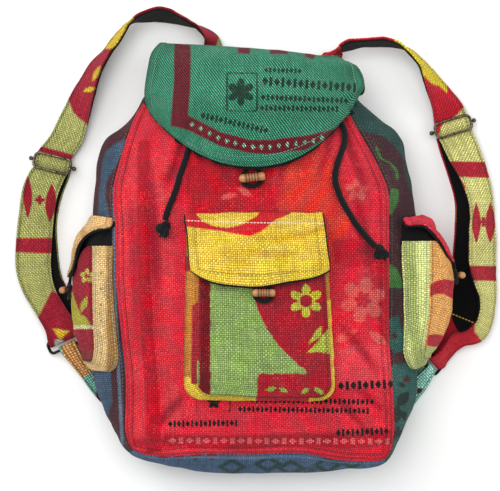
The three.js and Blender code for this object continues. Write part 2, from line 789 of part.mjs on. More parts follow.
function strap(upper, slider, lower, ring, back) {
  const rows = [
    ...edgeRows(upper),
    ...sliderRows(slider, STRAP_LEVEL),
    ...edgeRows(lower),
    ...foldRows(vector(ring.inner), vector(ring.outer), vector(ring.way), RING_FOLD, ring.side),
    ...edgeRows(back),
  ];
  return strapPieces(rows, -ring.side);
}

// The ring's own directions: its long side, the way from the strap to the tab, and the third across them.
function ringDirections(ring) {
  const long = vector(ring.inner).sub(vector(ring.outer)).normalize();
  const way = vector(ring.way);
  way.addScaledVector(long, -way.dot(long)).normalize();
  return { long, way, third: long.clone().cross(way) };
}

// The tab lies folded over the ring's other long side, one layer on the other.
function tab(ring, rows) {
  const { long, way } = ringDirections(ring);
  const middle = vector(ring.inner).lerp(vector(ring.outer), 0.5);
  middle.addScaledVector(way, RING.height - RING_WIRE);
  const inner = middle.clone().addScaledVector(long, 9);
  const outer = middle.clone().addScaledVector(long, -9);
  const upper = edgeRows(rows);
  const fold = foldRows(inner, outer, way.clone().negate(), TAB_FOLD, -ring.side);
  const drop = fold[4].inner.clone().sub(fold[0].inner);
  const lower = [...upper].reverse().map((row, n) => {
    const shift = drop.clone().multiplyScalar((upper.length - n) / (upper.length + 1));
    shift.setLength(Math.max(shift.length(), TAB_CLOTH + GAP));
    return { inner: row.inner.clone().add(shift), outer: row.outer.clone().add(shift) };
  });
  const grid = stripGrid([...upper, ...fold, ...lower], 2, 1);
  return layer(grid, TAB_CLOTH / 2, -TAB_CLOTH / 2);
}

// Wires

function roundedLoop(length, height, corner) {
  const shape = new THREE.Path();
  const x = length / 2 - corner;
  const y = height / 2 - corner;
  shape.moveTo(-x, -y - corner);
  shape.lineTo(x, -y - corner);
  shape.absarc(x, -y, corner, -Math.PI / 2, 0, false);
  shape.absarc(x, y, corner, 0, Math.PI / 2, false);
  shape.absarc(-x, y, corner, Math.PI / 2, Math.PI, false);
  shape.absarc(-x, -y, corner, Math.PI, Math.PI * 1.5, false);
  return shape;
}

function wireLoop({ length, height, corner }, wire) {
  const outline = roundedLoop(length - wire, height - wire, corner - wire / 2).getSpacedPoints(28).slice(0, -1);
  const points = outline.map((point) => new THREE.Vector3(point.x, point.y, 0));
  const curve = new THREE.CatmullRomCurve3(points, true);
  return new THREE.TubeGeometry(curve, 28, wire / 2, 6, true);
}

function barGeometry() {
  const half = SLIDER.length / 2;
  const ball = SLIDER.ball;
  const neck = SLIDER_BAR / 2;
  const end = range(5).map((n) => {
    const angle = Math.PI / 2 - (n / 4) * (Math.PI / 2 + Math.acos(neck / ball));
    return [Math.cos(angle) * ball, half + ball + GAP + Math.sin(angle) * ball];
  });
  const profile = [...end.map(([r, h]) => [r, -h]), ...[...end].reverse()];
  profile[0][0] = 0;
  profile[profile.length - 1][0] = 0;
  const points = profile.map(([r, h]) => new THREE.Vector2(r, h));
  return new THREE.LatheGeometry(points, 8).rotateZ(Math.PI / 2);
}

function toggleGeometry({ length, radius }) {
  const profile = table("along radius", [
    [-0.5, 0],
    [-0.47, 0.6],
    [-0.36, 0.96],
    [-0.14, 1],
    [-0.1, 0.84],
    [0, 0.96],
    [0.1, 0.84],
    [0.14, 1],
    [0.4, 1],
    [0.5, 0.66],
    [0.5, 0],
  ]);
  const points = profile.map((row) => new THREE.Vector2(row.radius * radius, row.along * length));
  return new THREE.LatheGeometry(points, 10).rotateZ(-Math.PI / 2);
}

// Cords

function cordAlong(points, diameter, steps) {
  const section = new THREE.Shape().absarc(0, 0, diameter / 2, 0, 2 * Math.PI, false);
  const path = new THREE.CatmullRomCurve3(points);
  return new THREE.ExtrudeGeometry(section, { curveSegments: 4, steps, bevelEnabled: false, extrudePath: path });
}

// A point clear of the front panel by the distance above, measured square to its slope.
function onFront(x, y, above) {
  const z = frontHeight(x, y);
  const slope = Math.hypot(1, frontHeight(x + 2, y) / 2 - z / 2, frontHeight(x, y + 2) / 2 - z / 2);
  return new THREE.Vector3(x, y, z + above * slope);
}

function drawcord(route) {
  return cordAlong(route.map(([x, y]) => onFront(x, y, CORD / 2 + ON_CLOTH)), CORD, 18);
}

// An overhand knot, drawn tight: a lumpy ball.
function knotGeometry() {
  const ball = new THREE.SphereGeometry(7, 10, 7);
  const position = ball.getAttribute("position");
  for (let n = 0; n < position.count; n++) {
    const point = new THREE.Vector3().fromBufferAttribute(position, n);
    const turn = Math.atan2(point.y, point.x);
    const lump = 1 + 0.14 * Math.cos(3 * turn + point.z / 3) * (1 - (point.z / 7) ** 2);
    position.setXYZ(n, point.x * lump * 1.15, point.y * lump * 0.92, point.z * 0.72);
  }
  return ball;
}

// A cord loop under a toggle. place puts a point that lies u along the toggle and v towards the flap.
function toggleLoop(place, length, reach, diameter) {
  const half = length * 0.36;
  const strand = diameter * 0.62;
  const points = [
    [-strand, reach],
    [-strand, 0.4 * reach],
    [-half + 1, 2],
    [-half + 2, -4],
    [0, -8.4],
    [half - 2, -4],
    [half - 1, 2],
    [strand, 0.4 * reach],
    [strand, reach],
  ].map(([u, v]) => place(u, v, diameter / 2 + ON_CLOTH));
  return cordAlong(points, diameter, 16);
}

// Scene

const bag = new THREE.Group();

function add(name, geometry, look, parent = bag) {
  const bare = geometry.clone();
  bare.deleteAttribute("normal");
  bare.deleteAttribute("uv");
  const merged = mergeVertices(bare, 1e-3);
  merged.computeVertexNormals();
  const mesh = new THREE.Mesh(merged, new THREE.MeshStandardMaterial(LOOK[look]));
  mesh.name = name;
  parent.add(mesh);
  return mesh;
}

function addBag() {
  add("back_panel", backPanel(), "maroon");
  add("front_panel", thickened(drawnIn(frontSurface, 0.3), bagOutward, SACKING), "red");
  add("gusset_left", thickened(gussetGrid(0, LEFT_CORNER), bagOutward, SACKING), "maroon");
  add("gusset_bottom", thickened(gussetGrid(LEFT_CORNER, RIGHT_CORNER), bagOutward, SACKING), "blue");
  add("gusset_right", thickened(gussetGrid(RIGHT_CORNER, STATIONS), bagOutward, SACKING), "green");
  const flap = lifted(flapGrid(TOP_FLAP, 16, 10, 2.2));
  add("top_flap", layer(flap, 0, -SACKING), "green");
  add("top_flap_lining", layer(flap, -SACKING - GAP, -SACKING - GAP - LINING), "black");
  addToggle("main", MAIN_TOGGLE, TOGGLE, frontHeight, 24);
}

function addFrontPocket() {
  const pocket = frontPocket();
  add("pocket_face", pocket.face, "crimson");
  add("pocket_gusset", pocket.gusset, "ochre");
  const flap = flapGrid(POCKET_FLAP, 9, 8, 3.4);
  add("pocket_flap", layer(flap, 0, -SACKING), "yellow");
  add("pocket_flap_lining", layer(flap, -SACKING - GAP, -SACKING - GAP - LINING), "black");
  const height = (x, y) => heightOn(pocket.panel, "x", "y", "z", x, y);
  addToggle("pocket", POCKET_TOGGLE, SMALL_TOGGLE, height, 14);
}

function addSidePockets() {
  const leftHost = gussetGrid(0, LEFT_CORNER);
  const left = sidePocket(LEFT_POCKET, leftHost);
  add("left_pocket_face", left.face, "crimson");
  add("left_pocket_gusset", left.gusset, "tan");
  const leftFlap = flapGrid(LEFT_FLAP, 8, 6, 2.2);
  add("left_pocket_flap", layer(leftFlap, 0, SACKING), "tan");
  add("left_pocket_flap_lining", layer(leftFlap, -GAP, -GAP - LINING), "black");
  addSideToggle("left", -1, LEFT_TOGGLE, left.panel);
  const rightHost = gussetGrid(RIGHT_CORNER, STATIONS);
  const right = sidePocket(RIGHT_POCKET, rightHost);
  add("right_pocket_face", right.face, "orange");
  add("right_pocket_gusset", right.gusset, "lime");
  const rightFlap = flapGrid(RIGHT_FLAP, 8, 6, 2.2);
  add("right_pocket_flap", layer(rightFlap, 0, SACKING, -1), "red");
  add("right_pocket_flap_lining", layer(rightFlap, -GAP, -GAP - LINING, -1), "black");
  addSideToggle("right", 1, RIGHT_TOGGLE, right.panel);
}

// A toggle on a surface that faces up, and the loop round it.
function addToggle(name, toggle, size, height, reach) {
  const turn = toggle.turn * (Math.PI / 180);
  const place = (u, v, above) => {
    const x = toggle.x + u * Math.cos(turn) - v * Math.sin(turn);
    const y = toggle.y + u * Math.sin(turn) + v * Math.cos(turn);
    return new THREE.Vector3(x, y, height(x, y) + above);
  };
  add(`${name}_loop`, toggleLoop(place, size.length, reach, LOOP_CORD), "black");
  const peg = add(`${name}_toggle`, toggleGeometry(size), "wood");
  peg.position.copy(place(0, 0, LOOP_CORD + size.radius + ON_CLOTH + 0.8));
  peg.rotation.z = turn;
}

// A toggle on a side pocket, upright, so that its end shows from above.
function addSideToggle(name, side, toggle, panel) {
  const place = (u, v, above) => {
    const y = toggle.y + v;
    const z = toggle.z + u;
    return new THREE.Vector3(heightOn(panel, "y", "z", "x", y, z) + side * above, y, z);
  };
  add(`${name}_pocket_loop`, toggleLoop(place, SMALL_TOGGLE.length, SIDE_LOOP_REACH, SIDE_LOOP_CORD), "black");
  const peg = add(`${name}_pocket_toggle`, toggleGeometry(SMALL_TOGGLE), "wood");
  peg.position.copy(place(0, 0, SIDE_LOOP_CORD + SMALL_TOGGLE.radius + ON_CLOTH + 0.8));
  peg.rotation.y = -Math.PI / 2;
}

function addStraps() {
  for (const [name, look, tabLook, upper, slider, lower, ring, back, tabRows] of [
    ["left", "lime", "orange", LEFT_UPPER, LEFT_SLIDER, LEFT_LOWER, LEFT_RING, LEFT_RETURN, LEFT_TAB],
    ["right", "red", "teal", RIGHT_UPPER, RIGHT_SLIDER, RIGHT_LOWER, RIGHT_RING, RIGHT_RETURN, RIGHT_TAB],
  ]) {
    const strip = strap(upper, slider, lower, ring, back);
    add(`${name}_strap`, strip.cloth, look);
    add(`${name}_strap_lining`, strip.lining, "black");
    add(`${name}_tab`, tab(ring, tabRows), tabLook);
    addSlider(name, slider);
    addRing(name, ring);
  }
}

function addSlider(name, slider) {
  const place = new THREE.Group();
  place.position.set(slider.x, slider.y, 0);
  place.rotation.z = slider.turn * (Math.PI / 180);
  bag.add(place);
  add(`${name}_slider_frame`, wireLoop(SLIDER, WIRE), "bronze", place).position.z = SLIDER.level;
  add(`${name}_slider_bar`, barGeometry(), "bronze", place).position.z = SLIDER.barLevel;
}

function addRing(name, ring) {
  const { long, way, third } = ringDirections(ring);
  const middle = vector(ring.inner).lerp(vector(ring.outer), 0.5);
  const mesh = add(`${name}_ring`, wireLoop(RING, RING_WIRE), "steel");
  mesh.quaternion.setFromRotationMatrix(new THREE.Matrix4().makeBasis(long, way, third));
  mesh.position.copy(middle).addScaledVector(way, (RING.height - RING_WIRE) / 2);
}

function addDrawcords() {
  for (const [name, route] of [
    ["left", LEFT_DRAWCORD],
    ["right", RIGHT_DRAWCORD],
  ]) {
    add(`drawcord_${name}`, drawcord(route), "black");
    const [x, y] = route[route.length - 1];
    const [beforeX, beforeY] = route[route.length - 2];
    const turn = Math.atan2(y - beforeY, x - beforeX);
    const reach = 7 * 1.15 * 1.1;
    const knot = add(`drawcord_knot_${name}`, knotGeometry(), "black");
    knot.position.copy(onFront(x + reach * Math.cos(turn), y + reach * Math.sin(turn), 6));
    knot.rotation.z = turn;
  }
}

addBag();
addFrontPocket();
addSidePockets();
addStraps();
addDrawcords();

export default bag;
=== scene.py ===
# A rucksack sewn from printed rice sacks, lying on its back.
# The cloth follows the cut of the frame's pieces: tables in millimetres, meshes in metres.
import math

import bpy
import numpy as np
from mathutils import Matrix, Vector
from mathutils.bvhtree import BVHTree


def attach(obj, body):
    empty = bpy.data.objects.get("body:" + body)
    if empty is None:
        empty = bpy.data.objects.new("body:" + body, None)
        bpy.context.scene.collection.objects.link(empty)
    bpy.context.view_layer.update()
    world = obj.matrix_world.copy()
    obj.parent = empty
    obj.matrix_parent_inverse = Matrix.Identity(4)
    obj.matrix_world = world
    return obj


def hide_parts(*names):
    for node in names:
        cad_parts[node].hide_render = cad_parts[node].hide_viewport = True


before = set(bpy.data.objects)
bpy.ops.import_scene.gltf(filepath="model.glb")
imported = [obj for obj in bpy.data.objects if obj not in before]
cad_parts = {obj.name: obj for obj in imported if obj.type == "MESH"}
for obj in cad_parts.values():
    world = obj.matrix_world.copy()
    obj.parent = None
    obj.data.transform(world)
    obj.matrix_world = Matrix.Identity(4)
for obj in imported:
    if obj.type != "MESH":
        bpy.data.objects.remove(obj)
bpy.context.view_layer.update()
BODY = "root"
MM = 0.001
# The view: where the camera stands, in millimetres, and its picture's size and focal length in pixels.
VIEW_X, VIEW_Y, VIEW_HEIGHT = -4, 16.5, 1900
VIEW_WIDE, VIEW_TALL, VIEW_FOCAL = 500, 491, 1850
SENSOR = 36
# Thickness of the cloths, in millimetres.
PANEL_CLOTH, FLAP_CLOTH, POCKET_CLOTH, STRAP_CLOTH, LINING_CLOTH = 2.2, 2.1, 2.0, 1.8, 1.2

# The cut, in millimetres: X across the bag, Y towards its mouth, Z out of the back panel

# Outline of the bag from the left end of the mouth round the bottom: widest point, front seam, back seam.
OUTLINE = [
    [-97, 191, 36, -87, 187, 62, -88, 200], [-109, 168, 40, -100, 168, 79, -100, 174],
    [-124, 140.5, 44, -115, 146, 90, -113, 148], [-148.5, 124, 46, -124, 121, 99, -134, 124],
    [-157, 100, 46, -131, 97, 103, -144, 99], [-159.5, 72, 46, -137, 70, 105, -148, 71],
    [-162, 37, 46, -135, 36, 106, -150, 37], [-162, -18, 46, -134, -17, 107, -150, -18],
    [-162, -73, 46, -129, -70, 106, -150, -72], [-161, -113, 45, -125, -109, 104, -149, -109],
    [-153, -141, 44, -125, -139, 102, -143, -137], [-139, -170, 42, -125, -166, 100, -131, -163],
    [-125, -191, 42, -118, -182, 99, -117, -183], [-94, -202, 42, -95, -189, 98, -90, -193],
    [-54, -210, 42, -53, -187, 98, -52, -200], [-4, -213, 42, -4, -187, 98, -4, -202],
    [46, -211, 42, 45, -186, 98, 44, -201], [91, -208, 42, 86, -193, 98, 88, -196],
    [131, -200, 42, 128, -191, 98, 125, -186], [145, -178, 42, 135.5, -173, 99, 138, -165],
    [158, -149, 44, 136, -141, 102, 149, -141], [164, -118, 45, 134, -112, 104, 153, -112],
    [165, -73, 46, 131, -70, 106, 153, -72], [165, -18, 46, 131, -17, 107, 153, -18],
    [163.5, 41, 46, 131, 39, 106, 151, 40], [158.5, 74, 46, 130, 70, 105, 147, 71],
    [152.5, 99, 46, 119, 97, 103, 141, 98], [147, 124, 46, 106, 121, 99, 130, 124],
    [124, 145.5, 44, 94, 145, 90, 108, 150], [99, 168, 40, 87, 167, 79, 91, 174],
    [83, 191, 36, 73, 187, 62, 78, 200],
]
# How far the front panel swells at each Y.
FRONT_SWELL = [
    [-190, 0], [-176, 9], [-150, 17], [-110, 20], [-40, 20], [30, 21],
    [85, 22], [125, 20], [160, 13], [190, 5],
]
# Flaps from seam to edge: left edge, middle, right edge.
TOP_FLAP = [
    [-84, 200, 4.4, -5, 201, 4.4, 76, 201, 4.4], [-91, 212, 22, -5, 210, 24, 84, 207, 22],
    [-94, 219, 46, -5, 213, 52, 85, 206, 42], [-101, 208, 66, -5, 210, 80, 94, 198, 58],
    [-104, 192, 79, -5, 201, 99, 103, 193, 68], [-106, 178, 86, -5, 183, 113, 107, 183, 76],
    [-107, 164, 91, -5, 160, 125, 108, 172, 84], [-105, 153, 96, -4, 135, 136, 103, 163, 92],
    [-101, 145, 101, -3, 112, 143, 98, 154, 100], [-96, 138, 104, 3, 91, 146, 93, 147, 104],
]
POCKET_FLAP = [
    [-66, 47, 135.5, 0, 48, 141, 65, 48, 137], [-65, 39, 145, 0, 40, 150, 66, 39, 146],
    [-63, 29, 154, 0, 29, 161, 67, 29, 155], [-62, 14, 156, 2, 13, 164, 69, 12, 156],
    [-61, 1, 156, 3, -3, 164.5, 71, -2, 156], [-60, -7, 156, 4, -21, 164, 71, -7, 156],
]
LEFT_FLAP = [
    [-160, 42, 28, -161, 46, 60, -137.5, 43, 105], [-162, 39, 24, -165, 39, 66, -139, 35.5, 108],
    [-167, 30, 24, -175.5, 28, 66, -154, 32.5, 105], [-173, 15, 28, -180.5, 13, 60, -171, 19.5, 89],
    [-179, -1, 34, -183.5, -3, 56, -178, 2, 76], [-185, -14, 41, -186.5, -15, 52, -181.5, -8.5, 69],
]
RIGHT_FLAP = [
    [166, 44, 30, 168, 47, 60, 145, 43, 98], [169, 41, 24, 176, 42, 64, 149, 37.5, 104],
    [171, 31, 24, 182.5, 31, 64, 164, 37.5, 103], [178, 20, 27, 189, 20, 60, 181, 23, 92],
    [189, 9, 34, 195.5, 9, 56, 192, 7, 78], [198.5, 1, 41, 200, 0, 52, 197, 0, 66],
]
# Straps and tabs: the edge towards the bag, then the other edge.
LEFT_UPPER = [
    [-56, 200.8, 1.9, -29, 200.8, 1.9], [-55, 210, 4, -30, 210, 2.2], [-52, 220, 7, -32, 219, 3],
    [-51, 228, 22, -38, 229, 4], [-60, 238, 33, -52, 238, 4], [-76, 248, 36, -75, 243, 4],
    [-94, 255, 37, -96, 246, 4], [-111, 251, 37, -112, 246, 4], [-124, 241, 36, -125, 245, 4],
    [-132.5, 227, 35, -140, 232.5, 4], [-145.5, 208.5, 34, -152, 217, 4], [-155, 189.5, 32, -166, 202, 4],
    [-160.5, 171, 27, -179, 183, 4], [-164.5, 155, 21, -188, 167, 5], [-169.5, 138, 13, -198, 149, 5],
    [-175, 122, 8, -206.5, 131.5, 6],
]
LEFT_LOWER = [
    [-194, 83, 8, -229, 92, 8], [-200, 68, 8, -236, 76, 8], [-204, 46, 8, -240, 50, 8],
    [-206, 20, 8, -243, 20, 8], [-207, -7, 8, -243, -9, 8], [-203, -27, 9, -235.5, -32, 9],
    [-193, -45, 10, -223, -53, 10], [-183, -60, 11, -212.5, -71.5, 11],
]
LEFT_RETURN = [
    [-180, -52, 3, -212, -66, 3], [-188, -34, 3, -223, -47, 3], [-197, -15, 3, -232, -22, 3],
    [-201, 12, 3, -238, 10, 3], [-202, 40, 3, -238, 41, 3], [-197, 66, 3, -232, 74, 3],
    [-190, 85, 3, -225, 94, 3], [-187, 95, 3, -222, 104, 3],
]
RIGHT_UPPER = [
    [84, 200.8, 1.9, 58, 200.8, 1.9], [89, 207, 3.4, 66, 206, 2.2], [91, 213, 8, 70, 211, 3],
    [88, 218, 25, 82, 213, 4], [94, 222, 35, 98, 217, 4], [105, 223.5, 35, 111, 220.5, 4],
    [119, 224, 35, 122, 220.5, 4], [132, 224.5, 35, 135, 220.5, 4], [145, 220.5, 35, 149, 219.5, 4],
    [157.5, 209.5, 34, 162, 214, 4], [167, 197, 33, 175.5, 202, 4], [171.5, 182, 30, 189.5, 187, 4],
    [177, 167, 23, 202.5, 173, 5], [181, 156, 14, 212.5, 161, 6],
]
RIGHT_LOWER = [
    [193, 117, 9, 227, 125, 8], [199, 103, 13, 233, 109, 7], [207, 88, 18, 238, 93, 6],
    [213, 73, 24, 242, 75, 5], [218, 52, 26, 244.5, 53, 5], [217, 27, 27, 246.5, 27, 5],
    [217, 0, 28, 246.5, -2, 5], [221, -19, 30, 246.5, -23, 6], [227, -37, 31, 245.5, -42, 7],
    [227, -53, 30, 242.5, -61, 8], [221, -65, 24, 235.5, -77, 9], [211, -71, 18, 225.5, -83.5, 9],
    [202, -73, 18, 214.5, -85.5, 9], [194, -82, 22, 204, -92.5, 7], [187, -91, 27, 196.5, -101.5, 6],
]
RIGHT_RETURN = [
    [181, -84, 23, 192, -97, 3], [187, -73, 14, 205, -92, 3], [194, -60, 5, 222, -80, 3],
    [200, -43, 3, 232, -56, 3], [203, -22, 3, 237, -25, 3], [204, 6, 3, 240, 6, 3],
    [206, 34, 3, 242, 36, 3], [206, 62, 3, 241, 68, 3], [199, 88, 3, 234, 97, 3],
    [191, 112, 3, 226, 123, 3], [187, 126, 3, 222, 137, 3],
]
LEFT_TAB = [
    [-149, -136, 3.8, -157.5, -143.5, 3.8], [-157, -126, 5.5, -166.5, -132.5, 5.5],
    [-168, -110, 8, -178.5, -115.5, 8],
]
RIGHT_TAB = [
    [153, -139, 3.8, 163, -148, 3.8], [158, -130, 7, 169, -140, 5.5], [164, -119, 13, 176, -130, 7.5],
]
# Drawcords seen from above, from under the flap to the knots.
LEFT_DRAWCORD = [
    [-47, 142], [-53, 135.5], [-57.5, 128.5], [-60, 120.5], [-62, 112.5], [-64, 104.5], [-66, 97],
    [-68.5, 90], [-71, 83], [-73, 75.5], [-75.5, 68], [-78.5, 60], [-82, 52], [-84, 46], [-85, 41],
]
RIGHT_DRAWCORD = [
    [74, 152], [79, 145], [83, 137.5], [86.5, 130], [88, 122.5], [87, 115], [84.5, 107.5], [81.5, 100],
    [79, 92], [77.5, 84], [78, 76], [81, 66.5], [85, 57.5], [91, 47.5], [97, 38], [102.5, 31],
    [108.5, 24], [116, 16],
]


# Camera, floor and light

def place_camera():
    """Looks straight down on the front of the bag from 1.9 m."""
    data = bpy.data.cameras.new("camera")
    data.sensor_width = SENSOR
    data.lens = VIEW_FOCAL * SENSOR / VIEW_WIDE
    camera = bpy.data.objects.new("camera", data)
    camera.location = (VIEW_X * MM, VIEW_Y * MM, VIEW_HEIGHT * MM)
    bpy.context.collection.objects.link(camera)
    bpy.context.scene.camera = camera


def soft_light(name, place, target, size, power):
    data = bpy.data.lights.new(name, "AREA")
    data.shape = "DISK"
    data.size = size
    data.energy = power
    lamp = bpy.data.objects.new(name, data)
    lamp.location = place
    lamp.rotation_euler = (Vector(target) - Vector(place)).to_track_quat("-Z", "Y").to_euler()
    bpy.context.collection.objects.link(lamp)


# Materials

def linear(hex_colour):
    """An sRGB hex value as linear light."""
    channels = [int(hex_colour[n:n + 2], 16) / 255 for n in (0, 2, 4)]
    return tuple(c / 12.92 if c <= 0.04045 else ((c + 0.055) / 1.055) ** 2.4 for c in channels) + (1.0,)


def node(tree, kind, links=None, out=0, ramp=(), **settings):
    """Adds a shader node; links holds its inputs' values or the sockets that feed them. Gives one output."""
    made = tree.nodes.new("ShaderNode" + kind)
    for name, value in settings.items():
        setattr(made, name, value)
    for key, value in (links or {}).items():
        if isinstance(value, bpy.types.NodeSocket):
            tree.links.new(value, made.inputs[key])
        else:
            made.inputs[key].default_value = value
    for n, (position, hex_colour) in enumerate(ramp):
        made.color_ramp.elements[n].position = position
        made.color_ramp.elements[n].color = linear(hex_colour)
    return made.outputs[out]


def new_material(name, **shader):
    material = bpy.data.materials.new(name)
    material.use_nodes = True
    tree = material.node_tree
    surface = tree.nodes["Principled BSDF"]
    for key, value in shader.items():
        surface.inputs[key.replace("_", " ")].default_value = value
    return material, tree, surface


def parts_of(tree, vector):
    split = tree.nodes.new("ShaderNodeSeparateXYZ")
    tree.links.new(vector, split.inputs[0])
    return split.outputs[0], split.outputs[1]


def bump_up(tree, surface, height, distance, strength=1.0):
    normal = node(tree, "Bump", {"Height": height, "Distance": distance, "Strength": strength})
    tree.links.new(normal, surface.inputs["Normal"])


def plain_weave(tree, pitch, wander, lean=0.0):
    """Threads over and under each other on the weave map, which is in millimetres.

    Gives the threads' height from 0 in the gaps to 1 on the crowns, a lightness along each thread, one for
    each crossing, and which way each crossing leans. With lean the crossings run together into slanted
    lines, as on a slack twill."""
    spot = node(tree, "UVMap", uv_map="weave")
    drift = node(tree, "TexNoise", {"Vector": spot, "Scale": 0.055, "Detail": 2.0}, out="Color")
    drift = node(tree, "VectorMath", {0: drift, 1: (0.5, 0.5, 0.5)}, operation="SUBTRACT")
    drift = node(tree, "VectorMath", {0: drift, "Scale": wander}, out=0, operation="SCALE")
    spot = node(tree, "VectorMath", {0: spot, 1: drift}, operation="ADD")
    cell = node(tree, "VectorMath", {0: spot, 1: (1 / pitch[0], 1 / pitch[1], 1)}, operation="MULTIPLY")
    turn = node(tree, "VectorMath", {0: cell, "Scale": math.pi}, operation="SCALE")
    across, along = parts_of(tree, node(tree, "VectorMath", {0: turn}, operation="SINE"))
    crossing = node(tree, "Math", {0: across, 1: along}, operation="MULTIPLY")
    if lean:
        other, another = parts_of(tree, node(tree, "VectorMath", {0: turn}, operation="COSINE"))
        slanted = node(tree, "Math", {0: other, 1: another}, operation="MULTIPLY")
        crossing = node(tree, "Math", {0: slanted, 1: lean, 2: crossing}, operation="MULTIPLY_ADD")
    warp_on_top = node(tree, "Math", {0: crossing, 1: 0.0}, operation="GREATER_THAN")
    crowns = [node(tree, "Math", {0: c}, operation="ABSOLUTE") for c in (across, along)]
    tall = [node(tree, "Math", {0: c, 1: 0.7}, operation="POWER") for c in crowns]
    low = [node(tree, "Math", {0: c, 1: 0.25}, operation="POWER") for c in reversed(crowns)]
    warp, weft = [node(tree, "Math", {0: a, 1: b}, operation="MULTIPLY") for a, b in zip(tall, low)]
    height = node(tree, "Mix", {0: warp_on_top, 2: weft, 3: warp})
    slubs = []
    for scale in ((1.0, 0.05, 1.0), (0.05, 1.0, 1.0)):
        stretched = node(tree, "VectorMath", {0: cell, 1: scale}, operation="MULTIPLY")
        slubs.append(node(tree, "TexNoise", {"Vector": stretched, "Scale": 0.9, "Detail": 3.0}, out="Fac"))
    thread = node(tree, "Mix", {0: warp_on_top, 2: slubs[1], 3: slubs[0]})
    square = node(tree, "VectorMath", {0: cell}, operation="FLOOR")
    fleck = node(tree, "TexWhiteNoise", {"Vector": square}, noise_dimensions="2D")
    return height, thread, fleck, crossing


# A stitch's share of its step, and the steps of plain and of fine stitches, in millimetres.
STITCH_SHARE, STITCH, FINE_STITCH = 0.66, 3.6, 3.4


def stitch_rows(tree, colour, height, rows):
    """Running stitches beside the edges, in the grooves that they pull into the cloth."""
    run, inset = parts_of(tree, node(tree, "UVMap", uv_map="seam"))
    for row in rows:
        off = node(tree, "Math", {0: inset, 1: row["inset"]}, operation="SUBTRACT")
        off = node(tree, "Math", {0: off}, operation="ABSOLUTE")
        near = node(tree, "MapRange", {"Value": off, "From Min": 0.62, "From Max": 0.3},
                    interpolation_type="SMOOTHSTEP")
        step = node(tree, "Math", {0: run, 1: row.get("pitch", STITCH)}, operation="DIVIDE")
        step = node(tree, "Math", {0: step}, operation="FRACT")
        dash = node(tree, "Math", {0: step, 1: STITCH_SHARE}, operation="LESS_THAN")
        mask = node(tree, "Math", {0: near, 1: dash}, operation="MULTIPLY")
        groove = node(tree, "MapRange", {"Value": off, "From Min": 2.2, "From Max": 0.0},
                      interpolation_type="SMOOTHSTEP")
        deep = row.get("deep", 1.0)
        height = node(tree, "Math", {0: groove, 1: -1.4 * deep, 2: height}, operation="MULTIPLY_ADD")
        height = node(tree, "Math", {0: mask, 1: 1.2, 2: height}, operation="MULTIPLY_ADD")
        shade = node(tree, "Math", {0: groove, 1: -0.22 * deep, 2: 1.0}, operation="MULTIPLY_ADD")
        colour = node(tree, "Mix", {0: 1.0, 6: colour, 7: shade}, out=2, data_type="RGBA",
                      blend_type="MULTIPLY")
        show = node(tree, "Math", {0: mask, 1: row.get("show", 0.75)}, operation="MULTIPLY")
        colour = node(tree, "Mix", {0: show, 6: colour, 7: linear(row["thread"])}, out=2, data_type="RGBA")
    return colour, height


def along_line(tree, spot, ends, step, half_width):
    """The way along a straight line of the layout, in steps, and the distance from it, in half widths."""
    x0, y0, x1, y1 = ends
    along, off = parts_of(tree, node(tree, "Mapping", {
        "Vector": spot, "Location": (x0, y0, 0), "Rotation": (0, 0, math.atan2(y1 - y0, x1 - x0)),
        "Scale": (step, half_width, 1),
    }, vector_type="TEXTURE"))
    return along, node(tree, "Math", {0: off}, operation="ABSOLUTE")


def ornament_rows(tree, colour, rows):
    """Rows of small printed diamonds and bars: their ends on the layout, height, step and ink."""
    spot = node(tree, "UVMap", uv_map="layout")
    for x0, y0, x1, y1, tall, step, ink in rows:
        count = round(math.hypot(x1 - x0, y1 - y0) / step)
        along, off = along_line(tree, spot, (x0, y0, x1, y1), step, tall / 2)
        middle = node(tree, "Math", {0: along}, operation="FRACT")
        middle = node(tree, "Math", {0: middle, 1: 0.5}, operation="SUBTRACT")
        middle = node(tree, "Math", {0: middle}, operation="ABSOLUTE")
        diamond = node(tree, "Math", {0: middle, 1: 1.8, 2: off}, operation="MULTIPLY_ADD")
        bar = node(tree, "Math", {0: middle, 1: 3.8}, operation="MULTIPLY")
        bar = node(tree, "Math", {0: bar, 1: off}, operation="MAXIMUM")
        odd = node(tree, "Math", {0: along, 1: 2.0}, operation="MODULO")
        odd = node(tree, "Math", {0: odd, 1: 1.0}, operation="GREATER_THAN")
        shape = node(tree, "Mix", {0: odd, 2: diamond, 3: bar})
        mask = node(tree, "MapRange", {"Value": shape, "From Min": 1.08, "From Max": 0.86})
        within = node(tree, "Math", {0: along, 1: count / 2, 2: count / 2}, operation="COMPARE")
        mask = node(tree, "Math", {0: mask, 1: within}, operation="MULTIPLY")
        colour = node(tree, "Mix", {0: mask, 6: colour, 7: linear(ink)}, out=2, data_type="RGBA")
    return colour


def stitch_lines(tree, colour, lines):
    """Straight lines of fine stitches between two spots of the layout."""
    spot = node(tree, "UVMap", uv_map="layout")
    for x0, y0, x1, y1, thread in lines:
        count = math.hypot(x1 - x0, y1 - y0) / FINE_STITCH
        along, off = along_line(tree, spot, (x0, y0, x1, y1), FINE_STITCH, 0.62)
        near = node(tree, "MapRange", {"Value": off, "From Min": 1.0, "From Max": 0.6})
        dash = node(tree, "Math", {0: along}, operation="FRACT")
        dash = node(tree, "Math", {0: dash, 1: STITCH_SHARE}, operation="LESS_THAN")
        within = node(tree, "Math", {0: along, 1: count / 2, 2: count / 2}, operation="COMPARE")
        mask = node(tree, "Math", {0: near, 1: dash}, operation="MULTIPLY")
        mask = node(tree, "Math", {0: mask, 1: within}, operation="MULTIPLY")
        colour = node(tree, "Mix", {0: mask, 6: colour, 7: linear(thread)}, out=2, data_type="RGBA")
    return colour


STRAW, STRAW_SHARE = "c9a06a", 0.05
INK_REACH = 1.2


